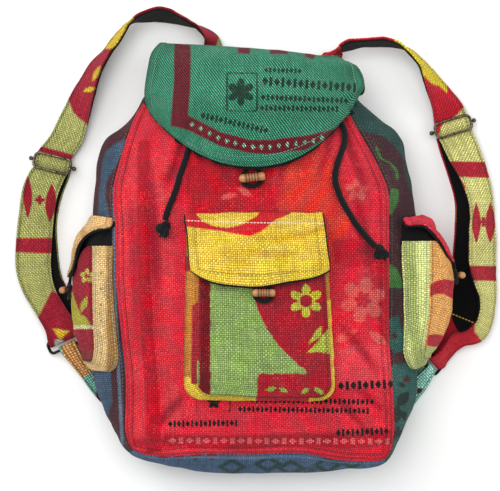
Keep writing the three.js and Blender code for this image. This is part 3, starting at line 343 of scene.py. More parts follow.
def sacking(name, ground, prints=(), stitches=(), rows=(), lines=(), pitch=(1.97, 2.05), fade=0.16,
            lean=0.0, check=0.2, gaps=0.42):
    """Jute sacking, plain woven of coarse spun thread and screen printed.

    The thick threads stand up as small bumps. Their gaps are painted darker and their crowns lighter, as
    painted shade and light, and the crossings that lean one way are painted lighter than the others, as
    light from one side makes them. Ink sits on the crowns, takes unevenly from one crossing to the next, and
    lets the straw colour through where it is thin."""
    material, tree, surface = new_material(name, Roughness=0.92, IOR=1.5, Sheen_Weight=0.05,
                                           Sheen_Roughness=0.5, Specular_IOR_Level=0.2)
    height, thread, fleck, crossing = plain_weave(tree, pitch, 2.2, lean)
    place = node(tree, "TexCoord", out="Object")
    colour = linear(ground)
    for attribute, hex_colour, softness in prints:
        reach = node(tree, "Attribute", out="Fac", attribute_name=attribute)
        ragged = node(tree, "Math", {0: thread, 1: 2.4, 2: reach}, operation="MULTIPLY_ADD")
        mask = node(tree, "MapRange", {"Value": ragged, "From Min": INK_REACH - softness / 2,
                                       "From Max": INK_REACH + softness / 2},
                    interpolation_type="SMOOTHSTEP")
        colour = node(tree, "Mix", {0: mask, 6: colour, 7: linear(hex_colour)}, out=2, data_type="RGBA")
    if rows:
        colour = ornament_rows(tree, colour, rows)
    clouds = node(tree, "TexNoise", {"Vector": place, "Scale": 26.0, "Detail": 4.0, "Roughness": 0.6},
                  out="Fac")
    wear_and_crease_shade = node(tree, "Math", {0: fleck, 1: clouds}, operation="MULTIPLY")
    wear_and_crease_shade = node(tree, "MapRange", {"Value": wear_and_crease_shade, "From Min": 0.4, "From Max": 0.56, "To Max": STRAW_SHARE})
    colour = node(tree, "Mix", {0: wear_and_crease_shade, 6: colour, 7: linear(STRAW)}, out=2, data_type="RGBA")
    # Painted shade and light: gaps sets how dark the gaps between threads are painted, the crowns are
    # painted lighter, and check sets how much lighter the crossings that lean one way are painted, as light
    # from one side makes them. The slubs, flecks and clouds are the cloth's own uneven tone.
    shade = node(tree, "MapRange", {"Value": height, "From Min": 0.2, "From Max": 0.95, "To Min": gaps,
                                    "To Max": 1.2})
    for value, low, high, darkest, lightest in (
        (crossing, -1.0, 1.0, 1 - check, 1 + check), (thread, 0.3, 0.7, 0.72, 1.26),
        (fleck, 0.0, 1.0, 0.84, 1.14), (clouds, 0.3, 0.7, 1 - fade, 1 + fade * 0.6),
    ):
        part = node(tree, "MapRange", {"Value": value, "From Min": low, "From Max": high, "To Min": darkest,
                                       "To Max": lightest})
        shade = node(tree, "Math", {0: shade, 1: part}, operation="MULTIPLY")
    colour = node(tree, "Mix", {0: 1.0, 6: colour, 7: shade}, out=2, data_type="RGBA",
                  blend_type="MULTIPLY")
    relief = node(tree, "Math", {0: thread, 1: 0.5, 2: height}, operation="MULTIPLY_ADD")
    relief = node(tree, "Math", {0: fleck, 1: 0.35, 2: relief}, operation="MULTIPLY_ADD")
    if lines:
        colour = stitch_lines(tree, colour, lines)
    if stitches:
        colour, relief = stitch_rows(tree, colour, relief, stitches)
    tree.links.new(colour, surface.inputs["Base Color"])
    bump_up(tree, surface, relief, 0.001, 0.9)
    return material


def black_cotton(name, prints=(), lines=()):
    """Black cotton twill lining, piece dyed: dull and close woven, greyish on the thread crowns, where it is
    rubbed and as painted light, and darker in the gaps between threads, as painted shade.
    """
    material, tree, surface = new_material(name, Roughness=0.95, Sheen_Weight=0.05,
                                           Sheen_Roughness=0.6, Specular_IOR_Level=0.15)
    height, thread, _, _ = plain_weave(tree, (1.1, 1.1), 0.8)
    mixed = node(tree, "Math", {0: height, 1: thread}, operation="MULTIPLY")
    colour = node(tree, "ValToRGB", {"Fac": mixed}, ramp=[(0, "050507"), (1, "17181a")])
    for attribute, hex_colour in prints:
        reach = node(tree, "Attribute", out="Fac", attribute_name=attribute)
        mask = node(tree, "MapRange", {"Value": reach, "From Min": -0.5, "From Max": 0.5})
        inked = node(tree, "Mix", {0: height, 6: linear("4a0c18"), 7: linear(hex_colour)}, out=2,
                     data_type="RGBA")
        colour = node(tree, "Mix", {0: mask, 6: colour, 7: inked}, out=2, data_type="RGBA")
    if lines:
        colour = stitch_lines(tree, colour, lines)
    tree.links.new(colour, surface.inputs["Base Color"])
    bump_up(tree, surface, height, 0.0003, 0.6)
    return material


def braided_cotton():
    """Black braided cotton cord: matt, with slanted strands about 2 mm wide that cross each other; the
    grooves between the strands are painted darker, as shade.
    """
    material, tree, surface = new_material("braided_cotton_cord", Roughness=0.92, Sheen_Weight=0.06,
                                           Sheen_Roughness=0.5, Specular_IOR_Level=0.2)
    spot = node(tree, "UVMap", uv_map="weave")
    turned = node(tree, "Mapping",
                  {"Vector": spot, "Rotation": (0, 0, math.radians(45)), "Scale": (2.0, 2.0, 1)})
    one_way, other_way = parts_of(tree, node(tree, "VectorMath", {0: turned}, operation="SINE"))
    height = node(tree, "Math", {0: one_way, 1: other_way}, operation="MULTIPLY")
    height = node(tree, "Math", {0: height}, operation="ABSOLUTE")
    fuzz = node(tree, "TexNoise", {"Vector": spot, "Scale": 1.7, "Detail": 3.0}, out="Fac")
    mixed = node(tree, "Math", {0: height, 1: fuzz}, operation="MULTIPLY")
    colour = node(tree, "ValToRGB", {"Fac": mixed}, ramp=[(0, "040405"), (0.6, "202126")])
    tree.links.new(colour, surface.inputs["Base Color"])
    bump_up(tree, surface, mixed, 0.0006, 0.9)
    return material


def waxed_wood():
    """Turned light hardwood with a thin wax: fine grain along the peg, dark rings in the grooves."""
    material, tree, surface = new_material("waxed_turned_wood", Roughness=0.48, IOR=1.5, Coat_Weight=0.12,
                                           Coat_Roughness=0.35)
    spot = node(tree, "UVMap", uv_map="weave")
    stretched = node(tree, "VectorMath", {0: spot, 1: (0.06, 0.9, 1.0)}, operation="MULTIPLY")
    grain = node(tree, "TexNoise", {"Vector": stretched, "Scale": 2.4, "Detail": 5.0, "Roughness": 0.6},
                 out="Fac")
    colour = node(tree, "ValToRGB", {"Fac": grain}, ramp=[(0.3, "8f5a30"), (0.7, "c98e58")])
    dark_groove_rings = node(tree, "Attribute", out="Fac", attribute_name="dark_groove_rings")
    colour = node(tree, "Mix", {0: dark_groove_rings, 6: colour, 7: linear("3a1f12")}, out=2, data_type="RGBA")
    tree.links.new(colour, surface.inputs["Base Color"])
    bump_up(tree, surface, grain, 0.0001, 0.5)
    return material


def antique_metal(name, dark, light, roughness):
    """Steel wire with an antique plating: brown-grey film with brighter metal where it is rubbed."""
    material, tree, surface = new_material(name, Metallic=1.0, Roughness=roughness)
    place = node(tree, "TexCoord", out="Object")
    rubbed = node(tree, "TexNoise", {"Vector": place, "Scale": 420.0, "Detail": 5.0, "Roughness": 0.65},
                  out="Fac")
    colour = node(tree, "ValToRGB", {"Fac": rubbed}, ramp=[(0.38, dark), (0.66, light)])
    tree.links.new(colour, surface.inputs["Base Color"])
    rough = node(tree, "MapRange", {"Value": rubbed, "To Min": roughness + 0.18,
                                    "To Max": roughness - 0.08})
    tree.links.new(rough, surface.inputs["Roughness"])
    bump_up(tree, surface, rubbed, 0.00008, 0.5)
    return material


def studio_paper():
    """Seamless white studio paper: matt and faintly mottled."""
    material, tree, surface = new_material("studio_paper", Roughness=0.95, Specular_IOR_Level=0.1)
    place = node(tree, "TexCoord", out="Object")
    mottle = node(tree, "TexNoise", {"Vector": place, "Scale": 3.0, "Detail": 2.0}, out="Fac")
    colour = node(tree, "ValToRGB", {"Fac": mottle}, ramp=[(0, "f4f4f3"), (1, "fafaf9")])
    tree.links.new(colour, surface.inputs["Base Color"])
    return material


# Curves and grids, in millimetres

def spline(points, at):
    """A curve through the points, read at each of at, from 0 at its start to 1 at its end."""
    p = np.asarray(points, float)
    p = np.vstack([2 * p[0] - p[1], p, 2 * p[-1] - p[-2]])
    last = len(p) - 3
    where = np.clip(np.asarray(at, float) * last, 0, last)
    n = np.minimum(where.astype(int), last - 1)
    w = (where - n)[:, None]
    a, b, c, d = p[n], p[n + 1], p[n + 2], p[n + 3]
    pairs = ((a, b), (b, c), (c, d))
    gap = [np.maximum(np.sum((v - u) ** 2, 1, keepdims=True) ** 0.25, 1e-3) for u, v in pairs]
    start = ((b - a) / gap[0] - (c - a) / (gap[0] + gap[1]) + (c - b) / gap[1]) * gap[1]
    end = ((c - b) / gap[1] - (d - b) / (gap[1] + gap[2]) + (d - c) / gap[2]) * gap[1]
    return b + start * w + (3 * (c - b) - 2 * start - end) * w ** 2 + (2 * (b - c) + start + end) * w ** 3


def smoothstep(low, high, value):
    share = np.clip((value - low) / (high - low), 0, 1)
    return share * share * (3 - 2 * share)


def bell(distance, width):
    return np.exp(-((distance / width) ** 2))


def lerp(a, b, share):
    return a + (b - a) * share


WAVE_COUNT = 7


def waves(x, y, length, seed):
    """Soft uneven ripples of about the given length, from -1 to 1."""
    random = np.random.default_rng(seed)
    total = 0
    for _ in range(WAVE_COUNT):
        angle = random.uniform(0, math.pi)
        size = length * random.uniform(0.7, 1.6)
        phase = random.uniform(0, 2 * math.pi)
        bend = random.uniform(-1, 1) * size * 0.5
        across = x * math.cos(angle) + y * math.sin(angle)
        other = y * math.cos(angle) - x * math.sin(angle)
        total = total + np.sin(2 * math.pi * (across + bend * np.sin(other / size)) / size + phase)
    return total / WAVE_COUNT * 1.4


def crease(x, y, start, end, width, depth):
    """A crease in cloth between two points: a hollow of the given width with a low ridge at its sides."""
    a, b = np.array(start, float), np.array(end, float)
    way = b - a
    length = math.hypot(*way)
    way = way / length
    along = (x - a[0]) * way[0] + (y - a[1]) * way[1]
    off = (x - a[0]) * way[1] - (y - a[1]) * way[0]
    fade = smoothstep(-0.15, 0.2, along / length) * (1 - smoothstep(0.6, 1.1, along / length))
    return -depth * fade * (bell(off, width) - 0.55 * bell(np.abs(off) - 1.9 * width, width))


def lengths(grid):
    """The grid's size in millimetres along its middle column and its middle row, at each point."""
    rows, columns = grid.shape[:2]
    up = np.linalg.norm(np.diff(grid, axis=0), axis=2).mean(axis=1)
    over = np.linalg.norm(np.diff(grid, axis=1), axis=2).mean(axis=0)
    up = np.concatenate([[0], np.cumsum(up)])
    over = np.concatenate([[0], np.cumsum(over)])
    return np.repeat(over[None], rows, 0), np.repeat(up[:, None], columns, 1)


def filled(bottom, top, left, right):
    """Points on a surface between four edges."""
    s = np.linspace(0, 1, len(bottom))[None, :, None]
    t = np.linspace(0, 1, len(left))[:, None, None]
    sides = (1 - s) * left[:, None] + s * right[:, None]
    ends = (1 - t) * bottom[None] + t * top[None]
    corners = (1 - s) * ((1 - t) * bottom[0] + t * top[0]) + s * ((1 - t) * bottom[-1] + t * top[-1])
    return sides + ends - corners


# The layout: places in the view's picture, in pixels of about a millimetre from its upper left corner.
# Colour fields, ornaments and lines of stitches are laid out there and fall straight down on the cloth.

def on_layout(grid):
    scale = VIEW_FOCAL / (VIEW_HEIGHT - grid[..., 2])
    across = VIEW_WIDE / 2 + (grid[..., 0] - VIEW_X) * scale
    down = VIEW_TALL / 2 - (grid[..., 1] - VIEW_Y) * scale
    return np.stack([across, down], -1)


def distance_inside(spots, outline):
    """How far each spot lies inside a closed outline; negative outside."""
    x, y = spots[..., 0], spots[..., 1]
    best = np.full(x.shape, 1e9)
    inside = np.zeros(x.shape, bool)
    for (ax, ay), (bx, by) in zip(outline, outline[1:] + outline[:1]):
        dx, dy = bx - ax, by - ay
        share = np.clip(((x - ax) * dx + (y - ay) * dy) / max(dx * dx + dy * dy, 1e-9), 0, 1)
        best = np.minimum(best, np.hypot(x - ax - share * dx, y - ay - share * dy))
        crosses = (ay > y) != (by > y)
        if dy:
            inside ^= crosses & (x < ax + (y - ay) * dx / dy)
    return np.where(inside, best, -best)


def field(spots, outlines):
    return np.max([distance_inside(spots, outline) for outline in outlines], axis=0)


def diamonds(places, wide, tall):
    return [[(x - wide, y), (x, y - tall), (x + wide, y), (x, y + tall)] for x, y in places]


def bars(places, wide, tall):
    return [[(x - wide, y + tall), (x - wide, y - tall), (x + wide, y - tall), (x + wide, y + tall)]
            for x, y in places]


def flower(x, y, size, petals=6, inner=0.42, turn=0.0):
    corners = []
    for n in range(petals * 8):
        angle = turn + 2 * math.pi * n / (petals * 8)
        reach = size * (inner + (1 - inner) * abs(math.cos(petals * (angle - turn) / 2)) ** 0.7)
        corners.append((x + reach * math.sin(angle), y - reach * math.cos(angle)))
    return corners


def leaf(x, y, length, width, turn):
    corners = []
    for n in range(16):
        share, side = (n / 8, 1) if n <= 8 else (2 - n / 8, -1)
        along = length * (share - 0.5)
        off = width / 2 * math.sin(math.pi * share) * side
        corners.append((x + along * math.cos(turn) - off * math.sin(turn),
                        y - along * math.sin(turn) - off * math.cos(turn)))
    return corners


# Pieces

def finish_piece(piece, material, slot, node_name):
    """Gives a piece its finish, hangs it on the body and hides the frame's node that it stands for."""
    piece.data.materials.clear()
    piece.data.materials.append(material)
    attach(piece, BODY)
    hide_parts(node_name)


def quads_of(grid):
    rows, columns = grid.shape[:2]
    number = np.arange(rows * columns).reshape(rows, columns)
    corners = [number[:-1, :-1], number[:-1, 1:], number[1:, 1:], number[1:, :-1]]
    return np.stack(corners, -1).reshape(-1, 4)


def grid_mesh(name, grid, fields, seam):
    """A mesh of quads on the grid, with its weave, layout and seam maps and its colour fields."""
    quads = quads_of(grid)
    mesh = bpy.data.meshes.new(name)
    mesh.from_pydata((grid.reshape(-1, 3) * MM).tolist(), [], quads.tolist())
    corner = quads.reshape(-1)
    layout = on_layout(grid)
    maps = {"weave": lengths(grid), "layout": (layout[..., 0], layout[..., 1])}
    if seam is not None:
        maps["seam"] = seam
    for key, (u, v) in maps.items():
        layer = mesh.uv_layers.new(name=key)
        spots = np.stack([u.reshape(-1)[corner], v.reshape(-1)[corner]], -1)
        layer.data.foreach_set("uv", spots.reshape(-1))
    for key, values in (fields or {}).items():
        attribute = mesh.attributes.new(key, "FLOAT", "POINT")
        attribute.data.foreach_set("value", values.reshape(-1).astype(np.float32))
    mesh.validate()
    return mesh


def seam_map(grid, edges="lrtb"):
    """The way along the nearest of the named edges, and the distance from it: left, right, top, bottom."""
    across, up = lengths(grid)
    choices = {"l": (across, up), "r": (across.max() - across, up), "b": (up, across),
               "t": (up.max() - up, across)}
    inset, run = (np.stack([choice[n] for edge, choice in choices.items() if edge in edges])
                  for n in (0, 1))
    nearest = inset.argmin(0)[None]
    return np.take_along_axis(run, nearest, 0)[0], np.take_along_axis(inset, nearest, 0)[0]


def sheet_piece(name, grid, thickness, material, slot, node_name, held, fields=None,
                seam=None):
    """Cloth with its printed side on the grid and its thickness behind it."""
    piece = bpy.data.objects.new(name, grid_mesh(name, grid, fields, seam))
    bpy.context.collection.objects.link(piece)
    select_only(piece)
    wall = piece.modifiers.new("wall", "SOLIDIFY")
    wall.thickness = thickness * MM
    wall.offset = -1
    wall.use_even_offset = False
    bpy.ops.object.modifier_apply(modifier="wall")
    bpy.ops.object.shade_smooth()
    finish_piece(piece, material, slot, node_name)
    across, up = lengths(grid)


def select_only(*chosen):
    bpy.ops.object.select_all(action="DESELECT")
    for piece in chosen:
        piece.select_set(True)
    bpy.context.view_layer.objects.active = chosen[0]


def tree_of(grid):
    return BVHTree.FromPolygons([Vector(p) for p in grid.reshape(-1, 3).tolist()], quads_of(grid).tolist())


def height_at(tree, x, y, otherwise):
    hit = tree.ray_cast(Vector((x, y, 400)), Vector((0, 0, -1)))[0]
    return hit.z if hit else otherwise


# Bag

OUTLINE = np.array(OUTLINE, float)
WIDEST, SEAM = OUTLINE[:, 0:3], OUTLINE[:, 3:6]
BACK = np.column_stack([OUTLINE[:, 6:8], np.full(len(OUTLINE), 3.0)])
CORNERS = (12 / 30, 18 / 30)


def even(points, start, end, count):
    """Places along the curve through the points, evenly spaced between start and end."""
    fine = np.linspace(start, end, 600)
    run = np.concatenate([[0], np.cumsum(np.linalg.norm(np.diff(spline(points, fine), axis=0), axis=1))])
    return np.interp(np.linspace(0, run[-1], count), run, fine)


def facing(grid, centre):
    """Turns the grid so that its printed side looks away from the centre."""
    over, along = np.gradient(grid, axis=1), np.gradient(grid, axis=0)
    outward = np.sum(np.cross(over, along) * (grid - np.asarray(centre, float)))
    return grid if outward > 0 else grid[:, ::-1]


def mesh_normals(grid):
    normal = np.cross(np.gradient(grid, axis=1), np.gradient(grid, axis=0))
    return normal / np.maximum(np.linalg.norm(normal, axis=2, keepdims=True), 1e-9)


def gusset_grid(start, end, columns):
    """A strip on parabolas from the front seam over the widest line to the back seam."""
    at = even(WIDEST, start + 0.0004, end - 0.0004, columns)
    down = np.linspace(0.0, 1.0, 52)[:, None, None]
    seam, widest, back = (spline(curve, at)[None] for curve in (SEAM, WIDEST, BACK))
    ends = seam * 2 * (down - 0.5) * (down - 1) + back * 2 * down * (down - 0.5)
    return ends + widest * 4 * down * (1 - down)


def front_grid():
    columns, rows = 149, 209
    left = spline(SEAM, even(SEAM, CORNERS[0], 0, rows))
    right = spline(SEAM, even(SEAM, CORNERS[1], 1, rows))
    bottom = spline(SEAM, even(SEAM, CORNERS[0], CORNERS[1], columns))
    s = np.linspace(0, 1, columns)
    arch = np.sin(math.pi * s)
    mouth = lerp(SEAM[0], SEAM[-1], s[:, None])
    mouth[:, 1] += 5 * arch
    mouth[:, 2] += 18 * np.maximum(arch, 0) ** 0.7
    grid = filled(bottom, mouth, left, right)
    x, y = grid[..., 0], grid[..., 1]
    inner = (1 - np.abs(2 * s - 1) ** 2.4)[None] * smoothstep(0, 0.025, np.linspace(0, 1, rows))[:, None]
    table = np.array(FRONT_SWELL, float)
    rise = np.interp(y, table[:, 0], table[:, 1])
    gathers = smoothstep(120, 187, y) * 3.2 * np.sin((x + 7) / 165 * 10 * math.pi)
    upright = smoothstep(-185, -150, y) * (1 - smoothstep(60, 120, y))
    folds = upright * (2 * bell(x + 104, 10) - 3.5 * bell(x + 84, 11))
    folds += -3 * bell(x + 60, 16) * bell(y - 128, 26) - 3 * bell(x - 86, 16) * bell(y - 132, 26)
    folds += 2 * np.sin((x + 0.5 * y) / 9) * bell(x - 96, 40) * bell(y + 166, 14)
    folds += 1.7 * waves(x, y, 58, 3) + 0.7 * waves(x, y, 24, 5)
    for line in FRONT_CREASES:
        folds += 1.5 * crease(x, y, *line)
    grid[..., 2] += inner * rise + np.minimum(1, 4 * inner) * (gathers + folds)
    along_seam, from_seam = seam_map(grid, "lrb")
    ridge = 1.5 * bell(from_seam - 5, 3.4) * (1 + 0.25 * np.sin(along_seam / 4.7))
    pull = -1.3 * bell(from_seam - 13, 6) * (1 + 0.7 * waves(along_seam / 2.2, 0 * y, 19, 8))
    return grid + mesh_normals(grid) * ((ridge + pull) * smoothstep(0, 2.5, from_seam))[..., None]


# Start, end, width and depth of the creases in the front panel.
FRONT_CREASES = [
    ((-60, 132), (-88, 62), 5, 2.0), ((-52, 126), (-46, 66), 4, 1.2), ((84, 134), (112, 58), 5, 2.0),
    ((78, 136), (60, 74), 4, 1.2), ((-116, -176), (20, -172), 5, 1.6), ((10, -174), (128, -168), 5, 1.8),
    ((80, -132), (126, -180), 4, 1.6), ((98, -120), (133, -150), 4, 1.3),
    ((-66, -128), (-108, -172), 5, 1.6),
    ((-100, 88), (-92, -40), 6, 1.8), ((-118, 60), (-112, -90), 5, 1.2), ((96, 70), (118, -30), 6, 1.4),
    ((84, -60), (124, -110), 5, 1.3), ((-40, 132), (-20, 62), 5, 1.1), ((30, 120), (22, 62), 5, 1.0),
]


def hem(grid, inset, depth, width=8.5):
    """A turned hem: the cloth is thicker for its width from the edge, with a rounded edge."""
    raised = depth * (1 - smoothstep(width - 0.6, width + 1.4, inset)) * smoothstep(-0.2, 1.6, inset)
    return grid + mesh_normals(grid) * raised[..., None]


def make_front():
    grid = facing(front_grid(), (0, 0, 60))
    spots = on_layout(grid)
    mottle = 4 * waves(spots[..., 0], spots[..., 1], 26, 19)
    fields = {
        "glow": field(spots, [[(279, 156), (330, 148), (346, 190), (345, 244), (324, 240), (320, 214),
                               (282, 214), (276, 190)]]) + mottle,
        "bright": field(spots, [[(284, 168), (330, 166), (332, 213), (300, 214), (282, 206)],
                                [(322, 215), (345, 214), (346, 262), (328, 262)]]) + 1.4 * mottle,
        "deep": field(spots, [[(188, 150), (214, 160), (246, 166), (276, 166), (272, 190), (280, 214),
                               (190, 214), (184, 190)]]),
        "stripe": field(spots, [[(138, 140), (150, 140), (150, 250), (153, 330), (160, 400), (161, 452),
                                 (146, 453), (146, 400), (140, 330), (136, 250)]]),
        "pale": field(spots, [[(120, 168), (135, 150), (134, 250), (137, 330), (142, 440), (130, 440),
                               (127, 330), (118, 250)], [(152, 150), (172, 160), (176, 250), (172, 330),
                                                         (180, 430), (165, 432), (158, 330), (153, 250)]]),
        "shapes": field(spots, [flower(363, 300, 23, 6, 0.5, 0.2), leaf(346, 336, 26, 9, 0.5),
                                leaf(378, 338, 24, 9, 2.5), flower(357, 190, 12, 5),
                                leaf(229, 196, 18, 6, 0.3), leaf(245, 192, 18, 6, 2.6)]),
        "shapes_heart": field(spots, [flower(363, 300, 9, 6, 0.5, 0.7), flower(357, 190, 4, 5)]),
        "dim": field(spots, [[(332, 240), (352, 238), (374, 244), (376, 262), (352, 268), (334, 264)],
                             [(376, 262), (389, 262), (389, 346), (378, 340)]]),
        "light": field(spots, [[(334, 346), (391, 346), (391, 386), (334, 386)]]),
        "ink": field(spots, [flower(214, 402, 7, 5)] + bars([(213, 411.5)], 17, 0.7)
                     + bars([(196.5, 403), (230, 403)], 0.7, 9)),
        "band": field(spots, [[(164, 434), (230, 436), (300, 433), (345, 436), (392, 430), (393, 444),
                               (345, 449), (300, 446), (230, 449), (165, 447)]]),
        # Painted shade: the front is coloured a darker red along its creases, where shade falls.
        "front_crease_shade": -sum(crease(grid[..., 0], grid[..., 1], *line) for line in FRONT_CREASES) - 0.5,
    }
    material = sacking("red_printed_sacking", "ee2c40", [("light", "ff4856", 10), ("pale", "f03a46", 7),
                                                         ("glow", "e03630", 12), ("bright", "f6402e", 10),
                                                         ("deep", "cc1628", 7), ("dim", "cc1c30", 5),
                                                         ("shapes", "f06a62", 3),
                                                         ("shapes_heart", "d02838", 2),
                                                         ("stripe", "c60c24", 3), ("band", "cc1428", 3),
                                                         ("front_crease_shade", "bc1830", 2.4), ("ink", "14151a", 1)],
                       [{"inset": 4.2, "thread": "8f1a28", "show": 0.5},
                        {"inset": 9.5, "thread": "7d1626", "show": 0.4}],
                       rows=[(338, 386, 392, 384, 9, 6.2, "14151a"),
                             (250, 400, 374, 402, 6.2, 4.6, "14151a"),
                             (238, 409, 368, 411, 6.2, 4.4, "14151a"),
                             (168, 424, 238, 423, 6.8, 4.4, "14151a"),
                             (336, 433, 388, 431, 7.6, 4.8, "14151a"),
                             (168, 440.5, 388, 441.5, 6.4, 8.6, "ee6468")])
    sheet_piece("front", grid, PANEL_CLOTH, material, "red", "front_panel", "stretched",
                fields=fields, seam=seam_map(grid, "lrb"))
    return grid


def make_gussets():
    """The three strips between the back and the front: overprinted sacks with soft patches of colour."""
    hosts = {}
    for name, start, end, columns, slot, ground, prints_of in (
        ("left", 0, CORNERS[0], 190, "maroon", "4a1622", left_gusset_print),
        ("bottom", CORNERS[0], CORNERS[1], 120, "blue", "47698e", bottom_gusset_print),
        ("right", CORNERS[1], 1, 190, "green", "44202a", right_gusset_print),
    ):
        grid = facing(gusset_grid(start, end, columns), (0, 0, 50))
        across = lengths(grid)[1]
        x, y, z = grid[..., 0], grid[..., 1], grid[..., 2]
        side = np.minimum(across, across.max() - across)
        rumple = 1.5 * waves(x + y, z, 62, 11) + 0.6 * waves(x - y, z, 24, 12)
        gathers = smoothstep(120, 190, y) * 1.6 * np.sin(y / 5.2 + z / 30) * smoothstep(4, 20, side)
        ridge = 0.9 * bell(side - 4, 3)
        push = (rumple + gathers) * smoothstep(2, 26, side) + ridge * smoothstep(0, 2, side)
        grid = grid + mesh_normals(grid) * push[..., None]
        hosts[name] = grid
        prints, fields = prints_of(on_layout(grid), x if name == "bottom" else y, z)
        material = sacking(f"{name}_gusset_sacking", ground, prints,
                           [{"inset": 3.4, "thread": "9a938a", "show": 0.5}], fade=0.25, check=0.5)
        sheet_piece(f"{name}_side_strip" if name != "bottom" else "bottom_strip", grid, PANEL_CLOTH,
                    material, slot, f"gusset_{name}", "stretched", fields=fields,
                    seam=seam_map(grid, "tb"))
    return hosts


def left_gusset_print(spots, y, z):
    fields = {
        "patch": field(spots, [[(126, 139), (113, 145), (105, 152), (102, 165), (99, 195), (97, 222),
                                (112, 222), (108, 207), (104, 196), (106, 184), (112, 173), (119, 160),
                                (125, 148)], [(94, 366), (111, 366), (112, 402), (106, 430), (96, 420)]])
        + 0.8 * waves(spots[..., 0], spots[..., 1], 26, 21),
        "low": 14 * waves(y, z, 60, 22) - 6 - 8 * bell(z - 70, 34),
        "piping": 1.6 - np.abs(spots[..., 0] - np.interp(spots[..., 1], [190, 300, 440], [114, 115, 122]))
        - 8 * (1 - smoothstep(172, 190, spots[..., 1])),
        # Painted shade: near-black on the strip where it shows inside the side pocket's mouth.
        "mouth": np.minimum.reduce([field(spots,
                                          [[(84, 228), (96, 220), (106, 221), (106, 250), (84, 250)]]),
                                    102 - z, z - 30]),
    }
    prints = [("low", "2c3d50", 8), ("patch", "3c5872", 3), ("piping", "62788f", 1.5),
              ("mouth", "07070a", 1.5)]
    return prints, fields


def bottom_gusset_print(spots, x, z):
    places = [(232, 467), (268, 464), (291, 468), (327, 465), (352, 461)]
    fields = {
        "patch": 12 * waves(x, z * 1.4, 70, 31) - 8,
        "dark": np.minimum(field(spots, diamonds(places, 15, 9)), -field(spots, diamonds(places, 8, 4.5))),
        "maroon": field(spots, diamonds([(164 + 16 * n, 456) for n in range(4)], 6, 5)),
        "edge": 3 - np.abs(z - 93),
    }
    return [("patch", "2c5668", 7), ("dark", "1c4648", 2), ("maroon", "6a1c30", 2),
            ("edge", "6a8aac", 3)], fields


def right_gusset_print(spots, y, z):
    x, down = spots[..., 0], spots[..., 1]
    fields = {
        "shoulder": field(spots, [[(345, 88), (372, 98), (398, 124), (407, 160), (402, 158), (394, 144),
                                   (380, 136), (364, 130), (345, 128)]]) + 1.2 * waves(x, down, 24, 41),
        "vine": np.maximum(
            1.6 - np.abs(x - np.interp(down, [146, 158, 164, 172, 180], [376, 380, 392, 397, 397]))
            - 6 * smoothstep(178, 184, down) - 6 * (1 - smoothstep(142, 147, down)),
            field(spots, [[(391, 188), (399, 190), (398, 202), (392, 214), (388, 216), (389, 200)],
                          [(389, 264), (396, 267), (402, 280), (403, 288), (388, 288)]])),
        "teal": field(spots, [[(389, 318), (398, 317), (403, 330), (405, 350), (396, 353), (389, 346)],
                              [(388, 366), (424, 360), (424, 472), (384, 472)]])
        + 1.5 * waves(x, down, 18, 43),
        "dark": np.minimum(z - 66, field(spots, [leaf(403, 399, 19, 11, 0.9), leaf(397, 414, 20, 10, 1.5),
                                                 leaf(406, 417, 16, 8, 2.2), flower(398, 433, 7, 5),
                                                 leaf(402, 385, 9, 5, 2.6)])),
        "holes": field(spots, [flower(394, 336, 4, 5), flower(407, 379, 4.5, 5)]),
        "low": 15 * waves(y, z, 64, 44) - 5 - 8 * bell(z - 80, 30),
        # Painted shade: near-black on the strip where it shows inside the side pocket's mouth.
        "mouth": np.minimum.reduce([field(spots, [[(402, 216), (440, 216), (440, 250), (402, 250)]]),
                                    97 - z, z - 30]),
    }
    prints = [("low", "1f4a46", 8), ("shoulder", "1f4e4a", 3), ("vine", "3f7a36", 1.6),
              ("teal", "27625c", 3), ("dark", "0a2a24", 1.4), ("holes", "52161e", 1.6),
              ("mouth", "07070a", 1.5)]
    return prints, fields


def make_back():
    """The back panel, face down: a flat piece, a little raised along its seams."""
    columns, rows = 60, 84
    left = spline(BACK, even(BACK, CORNERS[0], 0, rows))
    right = spline(BACK, even(BACK, CORNERS[1], 1, rows))
    bottom = spline(BACK, even(BACK, CORNERS[0], CORNERS[1], columns))
    top = lerp(BACK[0], BACK[-1], np.linspace(0, 1, columns)[:, None])
    grid = filled(bottom, top, left, right)
    inset = seam_map(grid)[1]
    grid[..., 2] = 0.05 + 0.5 * (1 - smoothstep(0, 5, inset))
    grid = facing(grid, (0, 0, 50))
    spots = np.stack([grid[..., 0], grid[..., 1]], -1)
    fields = {
        "patch": 14 * waves(spots[..., 0], spots[..., 1], 120, 51) - 3,
        "bars": field(spots, bars([(0, 120 - 80 * n) for n in range(4)], 112, 9)),
        "flowers": field(spots, [flower(-70 + 70 * (n % 3), 80 - 80 * (n // 3), 17, 6) for n in range(9)]),
    }
    material = sacking("back_sacking", "5a1c2c", [("patch", "6d2437", 8), ("bars", "8a2a3c", 3),
                                                  ("flowers", "b98a4c", 1.5)],
                       [{"inset": 4.0, "thread": "b9a58a"}])
    sheet_piece("back", grid, PANEL_CLOTH, material, "maroon", "back_panel", "laid", fields=fields,
                seam=seam_map(grid))


# Flaps

def flap_grid(rows, down, across, roundness):
    table = np.array(rows, float)
    left, mid, right = (table[:, n:n + 3] for n in (0, 3, 6))
    at = even(mid, 0, 1, down)
    a, b, m = (spline(curve, at)[:, None] for curve in (left, right, mid))
    s = np.linspace(0, 1, across)[None, :, None]
    share = 1 - np.abs(2 * s - 1) ** roundness
    return lerp(a, b, s) + (m - (a + b) / 2) * share


# Where the top flap turns down over the mouth, and how softly it rises over a cord, in millimetres.
FLAP_TURN, SOFT_LIFT = 188, 2.4


